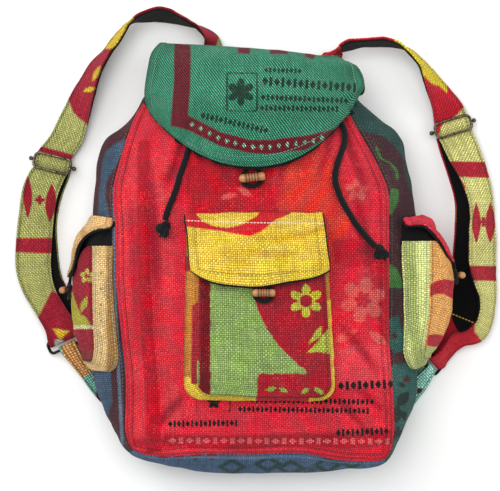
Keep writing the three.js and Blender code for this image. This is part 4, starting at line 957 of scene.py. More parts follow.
def lifted(grid, tree, room):
    """Keeps the flap clear of the drawcords, which run between it and the front panel."""
    grid = grid.copy()
    for spot in grid.reshape(-1, 3):
        x, y, z = spot
        if y < FLAP_TURN:
            short = room - (z - height_at(tree, x, y, z - 60))
            lift = SOFT_LIFT * math.log1p(math.exp(min(short / SOFT_LIFT, 20)))
            spot[2] += min((FLAP_TURN - y) / 10, 1) * lift
    return grid


# How far a flap's lining lies behind its cloth, and how many points of the cloth's grid it skips.
LINING_BEHIND, LINING_STEP = 1.9, 3


def behind(grid, out):
    """The grid of a flap's lining: behind the cloth, coarser, and out past its free edges by a little."""
    inner = grid - mesh_normals(grid) * LINING_BEHIND
    for axis in (0, 1):
        last = grid.shape[axis] - 1
        inner = np.take(inner, sorted(set(range(0, last, LINING_STEP)) | {last}), axis)
    for edge, near in ((inner[-1], inner[-2]), (inner[:, 0], inner[:, 1]), (inner[:, -1], inner[:, -2])):
        way = edge - near
        edge += way / np.maximum(np.linalg.norm(way, axis=-1, keepdims=True), 1e-6) * out
    return inner


def make_top_flap(tree, cotton):
    grid = facing(lifted(flap_grid(TOP_FLAP, 104, 168, 2.2), tree, 12.6), (0, 100, 40))
    x, y = grid[..., 0], grid[..., 1]
    down = lengths(grid)[1]
    seam = seam_map(grid, "lrt")
    rumple = 1.0 * waves(x, down, 46, 61) + 0.45 * waves(x, down, 20, 62)
    rumple += 3.0 * bell(x - 101, 12) * np.sin((y - 170 + 0.4 * x) / 4.6)
    rumple += 1.2 * bell(x + 98, 10) * np.sin((y - 160) / 7)
    for line in (((-90, 60), (-30, 96), 5, 1.2), ((20, 50), (92, 84), 5, 1.2),
                 ((-60, 20), (60, 26), 6, 1.0), ((70, 60), (102, 110), 4, 1.4),
                 ((-20, 96), (40, 112), 4, 0.9), ((104, 26), (78, 44), 4, 2.2),
                 ((106, 44), (76, 62), 3.5, 2.0)):
        rumple += crease(x, down, *line)
    puckers = 2.4 * bell(x - 104, 14) * bell(y - 158, 17) * np.sin((y + 0.6 * x) / 3.4)
    rumple = rumple * smoothstep(2, 14, seam[1]) + puckers * smoothstep(0, 4, seam[1])
    grid = grid + mesh_normals(grid) * rumple[..., None]
    lining = behind(grid, 2.2)
    grid = hem(grid, seam[1], 1.0)
    spots = on_layout(grid)
    dots_x = [lerp(192, 322, n / 15) for n in range(16)]
    dots_y = np.interp(dots_x, [187, 205, 220, 250, 270, 310, 337], [122, 131, 139, 147, 147, 142, 134])
    fields = {
        "stripe": field(spots, [[(175, 38), (190, 38), (191, 60), (190, 90), (187, 126), (171, 126),
                                 (172, 106), (174, 80), (174, 56)]]),
        "band": field(spots, [[(172, 112), (187, 115), (205, 124), (220, 132), (250, 140), (270, 140),
                               (310, 135), (337, 128), (345, 121), (330, 136), (305, 150), (270, 154),
                               (250, 153), (220, 146), (190, 131), (171, 125)]]),
        "tabs": np.minimum(down - 52, field(spots, [[(238, 46), (250, 46), (250, 54), (238, 53)],
                                                    [(270, 46), (288, 46), (288, 54), (270, 54)],
                                                    [(305, 48), (316, 50), (314, 59), (305, 57)]])),
        "lights": field(spots, diamonds(list(zip(dots_x, dots_y)), 2.4, 2.8)),
        "ink": field(spots, [flower(241, 92, 14, 6)] + bars([(242, 73), (242, 111)], 15, 0.9)
                     + bars([(227, 92), (257, 92)], 0.9, 19)),
        "sheen": 14 * waves(x, down, 70, 63),
    }
    material = sacking("green_printed_sacking", "358767", [("sheen", "3f9474", 12), ("stripe", "6a0e20", 2),
                                                           ("band", "720e22", 2), ("tabs", "720e22", 2),
                                                           ("ink", "0d3f30", 1.0),
                                                           ("lights", "74b896", 1.0)],
                       [{"inset": 2.6, "thread": "2c6f56", "show": 0.5},
                        {"inset": 8.6, "thread": "8cc4a8", "show": 0.55}],
                       rows=[(264, 70, 302, 71, 5.2, 4.2, "0d3f30"), (262, 81, 360, 88, 9.5, 6.0, "0b3528"),
                             (261, 97, 350, 101, 6.2, 4.6, "0b3528"),
                             (260, 108, 340, 109, 6.2, 4.4, "0b3528"),
                             (201, 115, 268, 131, 7.2, 4.6, "0b3528")], pitch=(1.21, 1.87), lean=-1.0,
                       check=0.95)
    sheet_piece("flap", grid, FLAP_CLOTH, material, "green", "top_flap", "draped",
                fields=fields, seam=seam)
    sheet_piece("flap_lining", lining, LINING_CLOTH, cotton, "black", "top_flap_lining", "draped")


# Pockets

def pocket_path(width, depth, corner, count):
    """A U with round lower corners, in shares: across from -1 to 1 and down from 0 to 1."""
    half = width / 2
    turns = np.linspace(0, math.pi / 2, 12)
    cos, sin = corner * np.cos(turns), corner * np.sin(turns)
    left = np.stack([-half + corner - cos, depth - corner + sin], -1)
    right = np.stack([half - corner + sin, depth - corner + cos], -1)
    points = np.vstack([[(-half, 0)], left, right, [(half, 0)]])
    run = np.concatenate([[0], np.cumsum(np.linalg.norm(np.diff(points, axis=0), axis=1))])
    at = np.linspace(0, run[-1], count)
    even_points = np.stack([np.interp(at, run, points[:, 0]), np.interp(at, run, points[:, 1])], -1)
    return even_points / [half, depth]


def panel_shares(path, sides):
    """The pocket's face filled between its U and its mouth, in shares."""
    side = int(len(path) * sides)
    left, bottom, right = path[:side + 1][::-1], path[side:len(path) - side], path[len(path) - side - 1:]
    mouth = np.stack([np.linspace(-1, 1, len(bottom)), np.zeros(len(bottom))], -1)
    return filled(bottom, mouth, left, right)


def away_from(low, high):
    low, high = np.array(low, float), np.array(high, float)

    def outward(points):
        way = points - np.clip(points, low, high)
        return way / np.maximum(np.linalg.norm(way, axis=-1, keepdims=True), 1e-6)
    return outward


def wall_of(path, base, face, outward, bulge, rows):
    low, high = base(path[:, 0], path[:, 1]), face(path[:, 0], path[:, 1])
    push = outward((low + high) / 2)
    share = np.linspace(0, 1, rows)[:, None, None]
    return lerp(low[None], high[None], share) + push[None] * bulge * 4 * share * (1 - share)


def make_front_pocket(tree):
    """The face and the wall stand on the front panel, which the tree holds."""
    def base(a, b):
        x = lerp(lerp(-65, 68, (a + 1) / 2), lerp(-68, 78, (a + 1) / 2), b)
        y = lerp(34, -132, b)
        z = np.array([height_at(tree, p, q, 120) for p, q in zip(x.ravel(), y.ravel())]).reshape(x.shape)
        return np.stack([x, y, z + 0.6], -1)

    def face(a, b):
        x = lerp(lerp(-52, 65, (a + 1) / 2), lerp(-55, 74.5, (a + 1) / 2), b)
        y = lerp(27, -126 - 2.6 * smoothstep(-0.8, 0.1, a), b)
        crown = 5 * (1 - a * a) * (1 - b ** 4)
        folds = 0.9 * waves(x, y, 40, 71) + 0.4 * waves(x, y, 17, 72)
        for line in (((-40, -20), (-10, -100), 6, 1.4), ((50, -10), (30, -110), 5, 1.1),
                     ((-50, -90), (60, -112), 5, 1.2)):
            folds += crease(x, y, *line)
        edge = (1 - np.abs(a) ** 6) * (1 - b ** 8)
        return np.stack([x, y, lerp(148.5, 139, b ** 4) + crown + folds * edge], -1)

    outward = away_from([-36, -108, 133], [56, 30, 137])
    path = pocket_path(136, 168, 16, 330)
    wall = facing(wall_of(path, base, face, outward, 1.8, 14), (5, -50, 137))
    run, up = lengths(wall)
    soft = smoothstep(0, 6, up) * smoothstep(0, 5, up.max() - up)
    wall = wall + outward(wall) * (0.8 * waves(run, up * 2, 22, 73) * soft)[..., None]
    make_pocket_wall(wall)
    shares = panel_shares(path, 0.385)
    panel = facing(face(shares[..., 0], shares[..., 1]), (5, -50, 100))
    seam = seam_map(panel, "lrb")
    ridge = 0.9 * bell(seam[1] - 3.5, 2.4) - 0.7 * bell(seam[1] - 9, 4) * (1 + 0.6 * np.sin(seam[0] / 5.3))
    panel = panel + mesh_normals(panel) * (ridge * smoothstep(0, 1.5, seam[1]))[..., None]
    make_pocket_face(panel, seam)
    return panel


def make_pocket_wall(wall):
    spots = on_layout(wall)
    fields = {
        "red": field(spots, [[(256, 388), (309, 388), (309, 402), (256, 402)]]),
        "crimson": field(spots, [[(192, 306), (200, 300), (201, 384), (191, 384)],
                                 [(178, 256), (190, 256), (191, 271), (178, 272)]]),
        "bright": field(spots, [[(318, 300), (345, 300), (345, 404), (306, 404), (306, 392), (322, 392)],
                                [(180, 376), (258, 388), (258, 404), (180, 402)]]),
    }
    material = sacking("ochre_sacking", "d28b32",
                       [("bright", "ffdc44", 4), ("red", "d01f33", 2), ("crimson", "a81b30", 2)],
                       [{"inset": 2.2, "thread": "a8742c", "pitch": 4.0, "show": 0.4}])
    sheet_piece("pocket_wall", wall, POCKET_CLOTH, material, "ochre", "pocket_gusset", "stretched",
                fields=fields, seam=seam_map(wall, "tb"))


def make_pocket_face(panel, seam):
    spots = on_layout(panel)
    fields = {
        "green": field(spots, [[(210.5, 260), (250, 262), (252, 285), (254, 297), (257, 308), (262, 319),
                                (268, 330), (274, 339), (281, 348), (289, 356), (297, 364), (310, 373.5),
                                (258, 373.5), (257, 400), (210.5, 400)]])
        + 0.8 * waves(spots[..., 0], spots[..., 1], 9, 74),
        "strip": field(spots, [[(200.5, 255), (211, 255), (211, 400), (200.5, 400)]]),
        "leaf": field(spots, [[(332, 324), (325, 333), (318, 341), (311, 349), (306, 353), (318, 352),
                               (332, 354)], [(308, 345), (316, 330), (322, 326), (321, 336)]]),
        "bits": field(spots, [leaf(271, 389, 12, 5, 0.2), leaf(283, 390, 10, 4, 2.8),
                              leaf(305, 391, 10, 5, 0.6), leaf(319, 391, 14, 5, 2.6)]),
        "flower": field(spots, [flower(306, 301, 17, 6, 0.3)]),
        "heart": field(spots, [flower(306, 301, 6.5, 6, 0.9)]),
        "line": field(spots, [[(196, 361), (199.4, 361), (199.4, 386), (197, 386)]]),
    }
    material = sacking("crimson_printed_sacking", "b01c2d", [("strip", "780e1a", 2), ("green", "93b162", 2),
                                                             ("leaf", "b9c24a", 1.6),
                                                             ("bits", "9db548", 1.4),
                                                             ("flower", "c4c13f", 1.2),
                                                             ("heart", "a81a2e", 1.2),
                                                             ("line", "9db548", 1.2)],
                       [{"inset": 2.6, "thread": "7a1420", "pitch": 4.0, "show": 0.5}])
    sheet_piece("pocket_front", panel, POCKET_CLOTH, material, "crimson", "pocket_face", "stretched",
                fields=fields, seam=seam)


def make_pocket_flap(cotton):
    flap = facing(flap_grid(POCKET_FLAP, 62, 112, 3.4), (0, 10, 120))
    x = flap[..., 0]
    down = lengths(flap)[1]
    flap[..., 1] += 3.2 * bell(x - 38, 22) * smoothstep(50, 76, down)
    flap[..., 1] -= 1.2 * bell(x - 2, 16) * smoothstep(60, 78, down)
    seam = seam_map(flap, "lrt")
    rumple = 0.8 * waves(x, down, 42, 75) + 0.35 * waves(x, down, 18, 76)
    for line in (((24, 36), (66, 18), 4.5, 2.6), ((-60, 26), (-16, 40), 4, 1.7),
                 ((-10, 50), (50, 56), 5, 1.5)):
        rumple += crease(x, down, *line)
    flap = flap + mesh_normals(flap) * (rumple * smoothstep(2, 12, seam[1]))[..., None]
    lining = behind(flap, 2.0)
    flap = hem(flap, seam[1], 0.6, 7.5)
    spots = on_layout(flap)
    fields = {
        "wave": field(spots, [[(184, 205), (296, 205), (290, 214), (283, 217), (276, 219.5), (271, 223),
                               (267, 227), (260, 232), (250, 236), (236, 234), (221, 231), (204, 229),
                               (184, 226)]]),
        "lens": field(spots, [[(196, 206), (262, 206), (258, 215), (250, 220), (240, 225), (227, 228),
                               (213, 226), (202, 221), (197, 215)]]),
        "shade": 12 * waves(x, down, 50, 77) - 4,
        # Painted shade: a darker gold along the flap's soft creases.
        "wear_and_crease_shade": field(spots, [[(246, 233), (276, 237), (300, 233), (324, 225), (324, 230), (302, 239),
                               (276, 242)], [(252, 250), (285, 252), (300, 254), (285, 257), (258, 256)]]),
    }
    material = sacking("yellow_printed_sacking", "f8d548", [("shade", "efc640", 10), ("wear_and_crease_shade", "e2b02e", 9),
                                                            ("wave", "dc1828", 2), ("lens", "f2d248", 2)],
                       [{"inset": 8.4, "thread": "7d5f2c", "show": 0.35, "deep": 0.5}],
                       lines=[(184, 220.5, 240, 222.5, "f4e6d0"), (240, 222.5, 326, 223.5, "f4e6d0")])
    sheet_piece("pocket_cover", flap, FLAP_CLOTH, material, "yellow", "pocket_flap", "draped",
                fields=fields, seam=seam)
    sheet_piece("pocket_cover_lining", lining, LINING_CLOTH, cotton, "black", "pocket_flap_lining",
                "draped")


# Side pockets

LEFT_POCKET = {"side": -1, "low_z": 24, "high_z": 105.5, "mouth_y": 16, "foot_y": -108, "face_low_x": 176,
               "face_high_x": 158, "face_low_z": 27, "face_high_z": 93, "swell": 14, "drawn_in": 3,
               "slant": 26, "spine_x": 161, "lining_z": 104.5, "lining_in": 0.8, "seed": 81}
RIGHT_POCKET = {"side": 1, "low_z": 24, "high_z": 90, "mouth_y": 21, "foot_y": -106, "face_low_x": 184,
                "face_high_x": 172, "face_low_z": 27, "face_high_z": 95, "swell": 21, "drawn_in": 10,
                "slant": 16, "spine_x": 164, "lining_z": 93, "lining_in": 3.3, "seed": 101}
MOUTH_DRAWN_IN = 0.2


def out_at(tree, side, y, z, otherwise):
    """How far out a surface lies at a height and a place along the bag, seen from the side."""
    hit = tree.ray_cast(Vector((side * 400, y, z)), Vector((-side, 0, 0)))[0]
    return hit.x if hit else otherwise


def side_pocket_grids(shape, host):
    side, seed = shape["side"], shape["seed"]

    def base(a, b):
        z = lerp(shape["low_z"], shape["high_z"] - 4 * b, (a + 1) / 2)
        y = lerp(shape["mouth_y"], shape["foot_y"], b)
        x = [out_at(host, side, q, r, side * 150) for q, r in zip(y.ravel(), z.ravel())]
        return np.stack([np.reshape(x, z.shape) + side * 0.9, y, z], -1)

    def face(a, b):
        share = (a + 1) / 2
        slant = shape["slant"] * smoothstep(0, 1, 0.9 - a) * (1 - b)
        full = (1 - b ** 3 * 0.8) * (1 - MOUTH_DRAWN_IN * np.maximum(1 - b, 0) ** 6)
        out = lerp(shape["face_low_x"], shape["face_high_x"], share) + shape["swell"] * (1 - a * a) * full
        z = lerp(shape["face_low_z"], shape["face_high_z"], share)
        y = lerp(shape["mouth_y"], shape["foot_y"] + 9, b) - slant
        edge = (1 - np.abs(a) ** 6) * (1 - b ** 8)
        out = out + (1.0 * waves(y, z, 38, seed) + 0.5 * waves(y, z, 16, seed + 1)) * edge
        for line in (((-10, 70), (-80, 84), 5, 1.6), ((-30, 40), (-100, 52), 5, 1.3)):
            out = out + crease(y, z, *line) * edge
        return np.stack([side * (out - shape["drawn_in"] * b ** 4), y,
                         lerp(z, lerp(z, 60, 0.3), b ** 4)], -1)

    spine = side * shape["spine_x"]
    outward = away_from([spine, shape["foot_y"] + 26, 48], [spine, 40, 54])
    path = pocket_path(80, 122, 22, 220)
    centre = (side * 150, -40, 55)
    wall = facing(wall_of(path, base, face, outward, 2.2, 24), centre)
    run, up = lengths(wall)
    soft = smoothstep(0, 6, up) * smoothstep(0, 5, up.max() - up)
    rumple = 1.1 * waves(run, up, 30, seed + 2) + 0.4 * waves(run, up, 13, seed + 3)
    wall = wall + mesh_normals(wall) * (rumple * soft)[..., None]
    shares = panel_shares(path, 0.4)
    panel = facing(face(shares[..., 0], shares[..., 1]), centre)
    seam = seam_map(panel, "lrb")
    ridge = 0.8 * bell(seam[1] - 3.2, 2.2) - 0.6 * bell(seam[1] - 8, 3.5) * (1 + 0.6 * np.sin(seam[0] / 5))
    panel = panel + mesh_normals(panel) * (ridge * smoothstep(0, 1.5, seam[1]))[..., None]
    return wall, panel, seam


def side_flap_grid(rows, seed):
    flap = facing(flap_grid(rows, 52, 74, 2.2), (0, 20, 45))
    run, down = lengths(flap)
    seam = seam_map(flap, "lrt")
    rumple = 0.9 * waves(run, down, 34, seed) + 0.4 * waves(run, down, 15, seed + 1)
    flap = flap + mesh_normals(flap) * (rumple * smoothstep(2, 10, seam[1]))[..., None]
    lining = behind(flap, 1.6)
    tip = lining[-1] - lining[-2]
    reach = 10 * bell(np.linspace(-1, 1, len(tip)), 0.8)[:, None]
    lining[-1] += tip / np.linalg.norm(tip, axis=1, keepdims=True) * reach
    return hem(flap, seam[1], 0.8, 6.5), lining, seam


def make_mouth_lining(name, panel, flap, shape, host, cotton):
    """The black lining in the pocket's mouth: from its edge up under the flap, and in to the bag."""
    side, high = shape["side"], shape["lining_z"]
    lines = []
    for line, inward, up, start in ((panel[-1], 3.6, 3.6, 0.8),
                                    (flap[int(len(flap) * 0.2)], 4.2, 1.5, shape["lining_in"])):
        line = line if line[0, 2] < line[-1, 2] else line[::-1]
        line = spline(line, np.linspace(0, 1, 34)) - [side * inward, up, 0]
        line[:, 2] = np.minimum(line[:, 2], high - 3.5)
        x, y, z = line[-1]
        inner = out_at(host, side, y, high - 2, side * 150) + side * start
        if (inner - x) * side > 0:
            inner = x
        turned_in = [(lerp(x, inner, n / 8), y, lerp(z, high - 2.5, n / 8)) for n in range(1, 9)]
        lines.append(np.vstack([line, turned_in]))
    grid = lerp(lines[0][None], lines[1][None], np.linspace(0, 1, 16)[:, None, None])
    sheet_piece(f"{name}_pocket_mouth_lining", facing(grid, (side * 120, 0, 40)), LINING_CLOTH, cotton,
                "black", f"{name}_pocket_flap_lining", "draped")


def make_side_pocket(name, shape, flap_rows, looks_of, host, cotton):
    """One side pocket: wall, face, flap and the two linings."""
    wall, panel, seam = side_pocket_grids(shape, host)
    flap, lining, flap_seam = side_flap_grid(flap_rows, shape["seed"] + 10)
    wall_look, face_look, flap_look = looks_of(on_layout(wall), on_layout(panel), on_layout(flap))
    for part, node_name, grid, thickness, held, rest, edges, look in (
        ("wall", "gusset", wall, POCKET_CLOTH, "stretched", f"{name}_side_strip", seam_map(wall, "tb"),
         wall_look),
        ("front", "face", panel, POCKET_CLOTH, "stretched", f"{name}_pocket_wall", seam, face_look),
        ("cover", "flap", flap, FLAP_CLOTH, "draped", f"{name}_pocket_front", flap_seam, flap_look),
    ):
        material_name, slot, ground, prints, inset, thread, fields = look
        material = sacking(material_name, ground, prints, [{"inset": inset, "thread": thread, "show": 0.5}])
        sheet_piece(f"{name}_pocket_{part}", grid, thickness, material, slot, f"{name}_pocket_{node_name}",
                    held, fields=fields, seam=edges)
    sheet_piece(f"{name}_pocket_cover_lining", lining, LINING_CLOTH, cotton, "black",
                f"{name}_pocket_flap_lining", "draped")
    make_mouth_lining(name, panel, flap, shape, host, cotton)
    return tree_of(panel)


def left_pocket_looks(wall, panel, flap):
    """Tan wall and flap, and a face pieced of red sacking with yellow-green shapes."""
    wall_fields = {
        "shade": field(wall, [[(106, 240), (126, 240), (126, 372), (107, 372)]])
        + 1.2 * waves(wall[..., 1], wall[..., 0], 30, 85),
        "marks": field(wall, diamonds([(101, 273 + 16 * n) for n in range(6)], 1.3, 1.3)),
    }
    face_fields = {
        "shape": field(panel, [[(66, 292), (71, 289), (80, 314), (86, 317), (93, 328), (66, 328)],
                               leaf(84, 304, 17, 6, 1.2)]),
        "edge": field(panel, [[(66, 325), (94, 325), (94, 329), (66, 329)]]),
        "ring": np.minimum(field(panel, [flower(87, 276, 7.5, 5)]),
                           -field(panel, [flower(87, 276, 3.2, 5)])),
        "low": field(panel, [[(60, 350), (100, 352), (100, 380), (60, 380)]]),
    }
    flap_fields = {"shade": 9 * waves(flap[..., 0], flap[..., 1], 26, 93) - 4}
    return (
        ("tan_sacking", "tan", "ebc88a", [("shade", "b08448", 4), ("marks", "4a3a28", 1)], 2.4, "efe2c0",
         wall_fields),
        ("red_pieced_sacking", "crimson", "a0122a",
         [("shape", "b4ae38", 2), ("edge", "d6cf98", 1.4), ("ring", "c9bd52", 1.2), ("low", "8c2a28", 5)],
         2.6, "5e1420", face_fields),
        ("tan_flap_sacking", "tan", "f6c684", [("shade", "d8a468", 6)], 6.0, "8d6b44", flap_fields),
    )


def right_pocket_looks(wall, panel, flap):
    """Lime wall, a face of orange sacking with red bows and a green foot, and a red flap."""
    wall_fields = {
        "shade": 5.5 - np.abs(wall[..., 0] - np.interp(wall[..., 1], [240, 330, 366], [411, 414, 420]))
        + 1.2 * waves(wall[..., 1], wall[..., 0], 30, 105),
    }
    face_fields = {
        "arch": field(panel, [[(428, 286), (436, 281), (444, 279), (456, 281), (456, 301), (444, 294),
                               (436, 294), (428, 298)]]),
        "spot": field(panel, [[(428, 335), (436, 334), (446, 336), (444, 346), (434, 347), (427, 345)]]),
        "glow": field(panel, [[(424, 236), (444, 240), (460, 262), (460, 276), (426, 276)]]),
        "foot": field(panel, [[(416, 349), (430, 347), (440, 346.6), (452, 340), (452, 374), (416, 374)]]),
    }
    flap_fields = {"shade": 9 * waves(flap[..., 0], flap[..., 1], 26, 113) - 4}
    return (
        ("lime_sacking", "lime", "eaf49a", [("shade", "b4c272", 6)], 2.4, "e8e8c0", wall_fields),
        ("orange_sacking", "orange", "f8b466",
         [("glow", "f6b262", 6), ("foot", "c8d484", 2), ("arch", "c42838", 2), ("spot", "c42838", 2)],
         2.6, "b5682c", face_fields),
        ("red_flap_sacking", "red", "f02c48", [("shade", "c42038", 6)], 6.0, "7d1626", flap_fields),
    )


# Straps

LEFT_SLIDER = {"x": -206, "y": 100.5, "turn": -14, "side": 1}
RIGHT_SLIDER = {"x": 203.5, "y": 138, "turn": 17, "side": -1}
LEFT_RING = {"inner": [-180, -69.5, 7], "outer": [-210, -83, 7], "way": [0.36, -0.93, 0], "side": 1}
RIGHT_RING = {"inner": [180, -93, 26], "outer": [191.5, -105, 5], "way": [-0.6, -0.8, 0], "side": -1}
RING_FOLD = 3.9
TAB_FOLD = 2.85
WIRE = 2.6
RING_WIRE = 3.0
SLIDER_HEIGHT = 18
RING_HEIGHT = 15


def unit(way):
    way = np.asarray(way, float)
    return way / np.linalg.norm(way)


def slider_rows(slider):
    turn = math.radians(slider["turn"])
    along = np.array([math.cos(turn), math.sin(turn), 0])
    down = -np.array([-along[1], along[0], 0])
    reach = SLIDER_HEIGHT / 2 - WIRE / 2
    rows = []
    for offset, z in ((-reach, 6), (0, 9.9), (reach, 6)):
        centre = np.array([slider["x"], slider["y"], 0]) + down * offset + [0, 0, z]
        rows.append(np.concatenate([centre + along * 17.5 * slider["side"],
                                    centre - along * 17.5 * slider["side"]]))
    return np.array(rows)


def fold_rows(inner, outer, way, radius, side):
    """Half a turn round a wire, from over it to under it. way points along the cloth where it arrives."""
    inner, outer = np.array(inner, float), np.array(outer, float)
    axis = unit(inner - outer)
    along = unit(np.asarray(way, float) - np.dot(way, axis) * axis)
    over = np.cross(along, axis) * side
    rows = []
    for angle in np.linspace(0, math.pi, 5):
        shift = over * radius * math.cos(angle) + along * radius * math.sin(angle)
        rows.append(np.concatenate([inner + shift, outer + shift]))
    return np.array(rows)


def strip_grid(rows, step, across):
    """A strip between two edges, crossed by a line at every step, and each line's place in the rows."""
    inner, outer = rows[:, :3], rows[:, 3:]
    middle = (inner + outer) / 2
    length = np.linalg.norm(np.diff(middle, axis=0), axis=1).sum()
    at = even(middle, 0, 1, int(length / step))
    a, b = spline(inner, at)[:, None], spline(outer, at)[:, None]
    return lerp(a, b, np.linspace(0, 1, across)[None, :, None]), at * (len(rows) - 1)


# How far the strap's cloth and its lining lie from the strip's middle, in millimetres.
CLOTH_OUT, LINING_IN = 1.98, 1.38
# The red end of the right strap's lining, and the gold line of stitches on it.
END_PRINT = [(416, 330), (440, 316), (451.5, 316), (453.5, 323), (457.5, 330.5), (462, 333.5), (468.5, 330),
             (473.5, 323), (484, 316), (492, 380), (416, 380)]
END_LINE = (452.5, 314, 474, 322.8, "d8b85a")


def make_strap(name, tables, slider, ring, look_of, cotton, slot, seed, lean):
    upper, lower, back = (np.array(table, float) for table in tables)
    turned_round = fold_rows(ring["inner"], ring["outer"], ring["way"], RING_FOLD, ring["side"])
    rows = np.vstack([upper, slider_rows(slider), lower, turned_round, back])
    before, after = len(upper) + 1, len(upper) + len(lower) + 5
    grid, row = strip_grid(rows, 1.6, 27)
    row = row[:, None]
    if ring["side"] < 0:
        grid = grid[:, ::-1]
    normal = mesh_normals(grid)
    across, up = lengths(grid)
    edge = np.minimum(across, across.max() - across)
    free = np.minimum(1, np.abs(row - before) / 2.5) * smoothstep(0, 2, len(rows) - 1 - row)
    free = free * smoothstep(0, 1, row) * np.clip(np.abs(row - after) - 2.5, 0, 1)
    soft = (0.55 * waves(across, up, 30, seed) + 0.3 * waves(across, up, 12, seed + 1)) * free
    puckers = 0.35 * np.sin(up / 2.4 + 2 * waves(across, up, 40, seed + 2)) * bell(edge - 4, 3)
    rolled = 0.7 * bell(edge - 1.2, 1.6)
    held = np.minimum(1, free + 0.3)
    shape = grid + normal * ((soft + puckers + rolled) * held)[..., None]
    spots = on_layout(shape)
    sections = {"first": inside_rows(row, -1, before), "middle": inside_rows(row, before, after),
                "last": inside_rows(row, after, 99)}

    def on(section, outlines):
        return np.minimum(sections[section], field(spots, outlines))
    ground, prints, thread, fields = look_of(on)
    material = sacking(f"{name}_strap_sacking", ground, prints,
                       [{"inset": 2.6, "thread": thread, "show": 0.4}],
                       pitch=(1.6, 1.85), lean=lean, check=0.32)
    cloth = shape + normal * CLOTH_OUT
    sheet_piece(f"{name}_strap_cloth", cloth, STRAP_CLOTH, material, slot, f"{name}_strap", "hung",
                fields=fields, seam=seam_map(cloth, "lr"))
    lining = (grid + normal * (soft * held)[..., None] - normal * LINING_IN)[:, ::-1]
    centre = lining.mean(axis=1, keepdims=True)
    lining = centre + (lining - centre) * 0.93
    sheet_piece(f"{name}_strap_back", lining, LINING_CLOTH, cotton, "black", f"{name}_strap_lining", "hung",
                fields={"end": field(on_layout(lining), [END_PRINT])})


def inside_rows(row, low, high):
    """Positive on the part of the strap between two of its rows, in about millimetres."""
    return np.minimum(row - low, high - row) * 20


def left_strap_look(on):
    """Lime sacking with red ends, a yellow patch and a bow of two leaves."""
    fields = {
        "red": np.maximum.reduce([
            on("first", [[(222, 20), (205, 20), (196, 60), (212, 60)],
                         [(118, 30), (140, 10), (145, 26), (122, 52), (122, 122), (88, 124), (80, 118),
                          (74, 112),
                          (68, 97), (88, 62), (104, 46)],
                         [(132, -8), (214, -8), (214, 32), (198, 44), (180, 22), (132, 14)],
                         [(40, 146), (78, 156), (78, 163), (38, 152)]]),
            on("middle", [[(10, 238), (60, 238), (60, 254), (10, 252)],
                          [(38, 318), (52, 291), (74, 300), (74, 350), (46, 350)]]),
            on("last", [[(40, 280), (80, 280), (80, 352), (40, 352)]]),
        ]),
        "yellow": np.maximum(on("first", [[(102, 12), (134, 6), (134, 32), (122, 50), (104, 50)],
                                          leaf(98, 74, 17, 5, 1.1), leaf(91, 90, 14, 4.5, 0.3)]),
                             on("middle", [[(52, 328), (70, 331), (60, 339)]])),
        "bars": on("middle", [leaf(28, 197, 44, 9, 1.57), leaf(51, 203, 40, 11, 1.5),
                              flower(40, 200, 5, 4)]),
        # Painted highlight: a grey-white glint of the ring's wire, painted on the cloth beside the ring.
        "pale": on("middle", [[(55, 339), (63, 339), (62, 350), (54, 350)]]),
    }
    prints = [("red", "b01c34", 2.5), ("yellow", "f0ca34", 2.5), ("bars", "b01c30", 1.2),
              ("pale", "cfd2c8", 2)]
    return "bcbe70", prints, "3a3a2c", fields


def right_strap_look(on):
    """Red sacking with a yellow patch and a lime length that carries bands and a bow of two leaves."""
    fields = {
        "yellow": on("first", [[(394, 30), (430, 50), (432, 62), (446, 78), (446, 94), (438, 87), (430, 84),
                                (424, 78), (408, 60), (394, 52)]]),
        "lime": np.maximum(on("middle", [[(437, 140), (440, 130), (446, 122), (454, 117), (482, 104),
                                          (512, 220), (506, 300), (484, 344), (474, 330), (474, 286),
                                          (462, 274), (466, 214), (464, 186), (450, 168)]]),
                           on("first", [[(437, 142), (439, 132), (445, 123), (454, 117), (466, 105),
                                         (480, 110), (482, 142)]])),
        "bands": on("middle", [[(440, 162), (490, 162), (490, 178), (440, 178)],
                               [(455, 266), (500, 266), (500, 281), (455, 281)]]),
        "bars": on("middle",
                   [leaf(475, 223, 42, 9, 1.57), leaf(489, 223, 42, 10, 1.57), flower(482, 222, 5, 4)]),
        "orange": on("last", [[(456, 204), (464, 204), (466, 222), (456, 222)]]),
    }
    prints = [("lime", "e4e08a", 2.5), ("yellow", "f8de34", 2.5), ("bands", "bc2034", 2),
              ("bars", "bc2034", 1.2),
              ("orange", "e08a34", 1.6)]
    return "d81c32", prints, "4a4030", fields


# Slot, ground and print colour, and the outlines of the print and of the dark tip.
LEFT_TAB_LOOK = {"slot": "orange", "ground": "86ccba", "print": "eeac66",
                 "part": [(56, 330), (74, 330), (92, 372), (72, 384)],
                 "tip": [(96, 392), (112, 392), (112, 408), (96, 408)]}
RIGHT_TAB_LOOK = {"slot": "teal", "ground": "b0f6e4", "print": "80ccbc",
                  "part": [(436, 350), (446, 350), (446, 362), (436, 362)],
                  "tip": [(416.5, 388), (422, 388), (422, 392), (417, 394.5)]}


def ring_directions(ring):
    """The middle of the ring's upper long side, its long direction, and the way across it to the tab."""
    inner, outer = np.array(ring["inner"], float), np.array(ring["outer"], float)
    long = unit(inner - outer)
    way = unit(np.array(ring["way"]) - np.dot(ring["way"], long) * long)
    return (inner + outer) / 2, long, way


